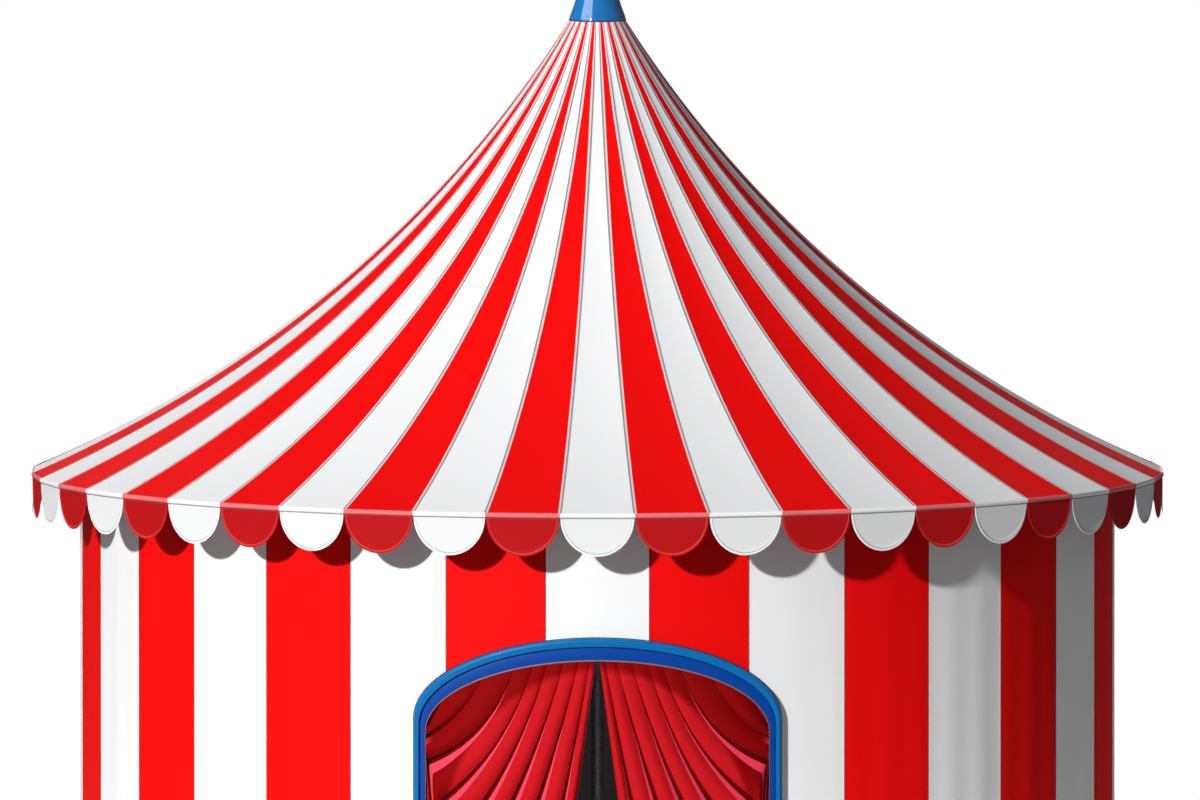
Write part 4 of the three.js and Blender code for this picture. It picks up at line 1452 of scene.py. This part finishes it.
def band_loop():
    """The band's path seen from above, as (across, radius, outward direction), once round."""
    middle = (BAND_RADII["front"] + BAND_RADII["back"]) / 2
    half = (BAND_RADII["front"] - BAND_RADII["back"]) / 2
    by_post, by_parting = BAND["outer"] - half, BAND["inner"] + half
    path = []
    for start, end, way in ((by_post, by_parting, 1), (by_parting, by_post, -1)):
        for i in range(LOOP_STEPS):
            path.append((start + (end - start) * i / LOOP_STEPS, middle + way * half, 0, way))
        for i in range(LOOP_STEPS):
            turn = math.pi * i / LOOP_STEPS
            out_x, out_r = -way * math.sin(turn), way * math.cos(turn)
            path.append((end + half * out_x, middle + half * out_r, out_x, out_r))
    return path


cloth = Finish("tie_back_braid")
u, v = cloth.flat_place()
from_middle = abs(v - 0.5)
plait = (u * (2 * math.pi / PLAIT["pitch"]) + from_middle * PLAIT["slant"]).sin() * 0.5 + 0.5
wear = cloth.noise(0.02, detail=4)
braid = cloth.blend(plait * 0.35 + wear * 0.2, BAND_BLUE, BAND_DARK)
tie_cloth = cloth.surface(
    {
        "Base Color": cloth.blend(from_middle > PLAIT["edge"], braid, BAND_GOLD),
        "Roughness": 0.6 + wear * 0.2,
        "Specular IOR Level": 0.25,
    },
    relief=plait,
    depth=0.002,
)
for side, place in ((1, "right"), (-1, "left")):
    path = band_loop()
    verts, flat = [], []
    travelled = 0
    for i, (x, radius, out_x, out_r) in enumerate(path):
        share = (x - BAND["inner"]) / (BAND["outer"] - BAND["inner"])
        tall = BAND_HEIGHTS["inner"] + (BAND_HEIGHTS["outer"] - BAND_HEIGHTS["inner"]) * share
        centre = BAND["low"] + BAND["lift"] * share - BAND["dip"] * math.sin(math.pi * share)
        if i:
            travelled += math.hypot(x - path[i - 1][0], radius - path[i - 1][1])
        for up, thick in PAD_SECTION:
            lift = thick * BAND["thick"]
            spot = on_round(x + out_x * lift, radius + out_r * lift, centre + up * tall)
            verts.append((side * spot[0], spot[1], spot[2]))
            flat.append((travelled, up + 0.5))
    faces = rings_joined(len(path), len(PAD_SECTION), closed=True)
    if side < 0:
        faces = [face[::-1] for face in faces]
    band = plain_mesh(f"tie_back_band_{place}", verts, faces)
    layer = band.uv_layers.new(name="UVMap")
    layer.uv.foreach_set("vector", [c for loop in band.loops for c in flat[loop.vertex_index]])
    piece = finished(f"tie_back_band_{place}", band, tie_cloth, f"tie_back_{place}")
    shading.objects.link(piece)

KNOB = {"across": 1.5285, "height": 1.090, "face": 4.4698, "root": 4.500, "sides": 24}
KNOB_PROFILE = [(0, 0), (0.009, 0.0), (0.0125, 0.002), (0.0130, 0.004), (0.0105, 0.007), (0.007, 0.010)]
KNOB_PROFILE += [(0.007, KNOB["root"] - KNOB["face"]), (0, KNOB["root"] - KNOB["face"])]
knob_face = math.sqrt(KNOB["face"] ** 2 - KNOB["across"] ** 2)
for side, place in ((1, "right"), (-1, "left")):
    knob = turned(f"tie_back_knob_{place}", KNOB_PROFILE, KNOB["sides"])
    for vert in knob.vertices:
        x, y, out = vert.co
        vert.co = (side * KNOB["across"] + x, -knob_face - out, KNOB["height"] + y)
    finished(f"tie_back_knob_{place}", knob, lining_paint)


# Hexagon bolts with washers hold down the foot plates, one to each side pole and four to the king pole.
# They are zinc plated steel, like the plates.
BOLT_PROFILE = [(0, 0), (0.0190, 0), (0.0190, 0.0026), (0.0130, 0.0028), (0.0130, 0.0110)]
BOLT_PROFILE += [(0.0115, 0.0125), (0, 0.0125)]
BOLT_SIDES = 6
BOLT_SUNK = 0.0002
PLATE_BOLTS = {
    "side_pole_bolts": {"count": BAYS, "first": math.pi / BAYS, "reach": 4.452, "plate": 0.010},
    "king_pole_bolts": {"count": 4, "first": math.pi / 4, "reach": 0.283, "plate": 0.015},
}
for name, bolts in PLATE_BOLTS.items():
    bolt = turned("bolt", BOLT_PROFILE, BOLT_SIDES)
    for vert in bolt.vertices:
        vert.co += Vector((0, -bolts["reach"], bolts["plate"] - BOLT_SUNK))
    set_round(name, bolt, bolts["count"], bolts["first"], steel, "tent_steel")
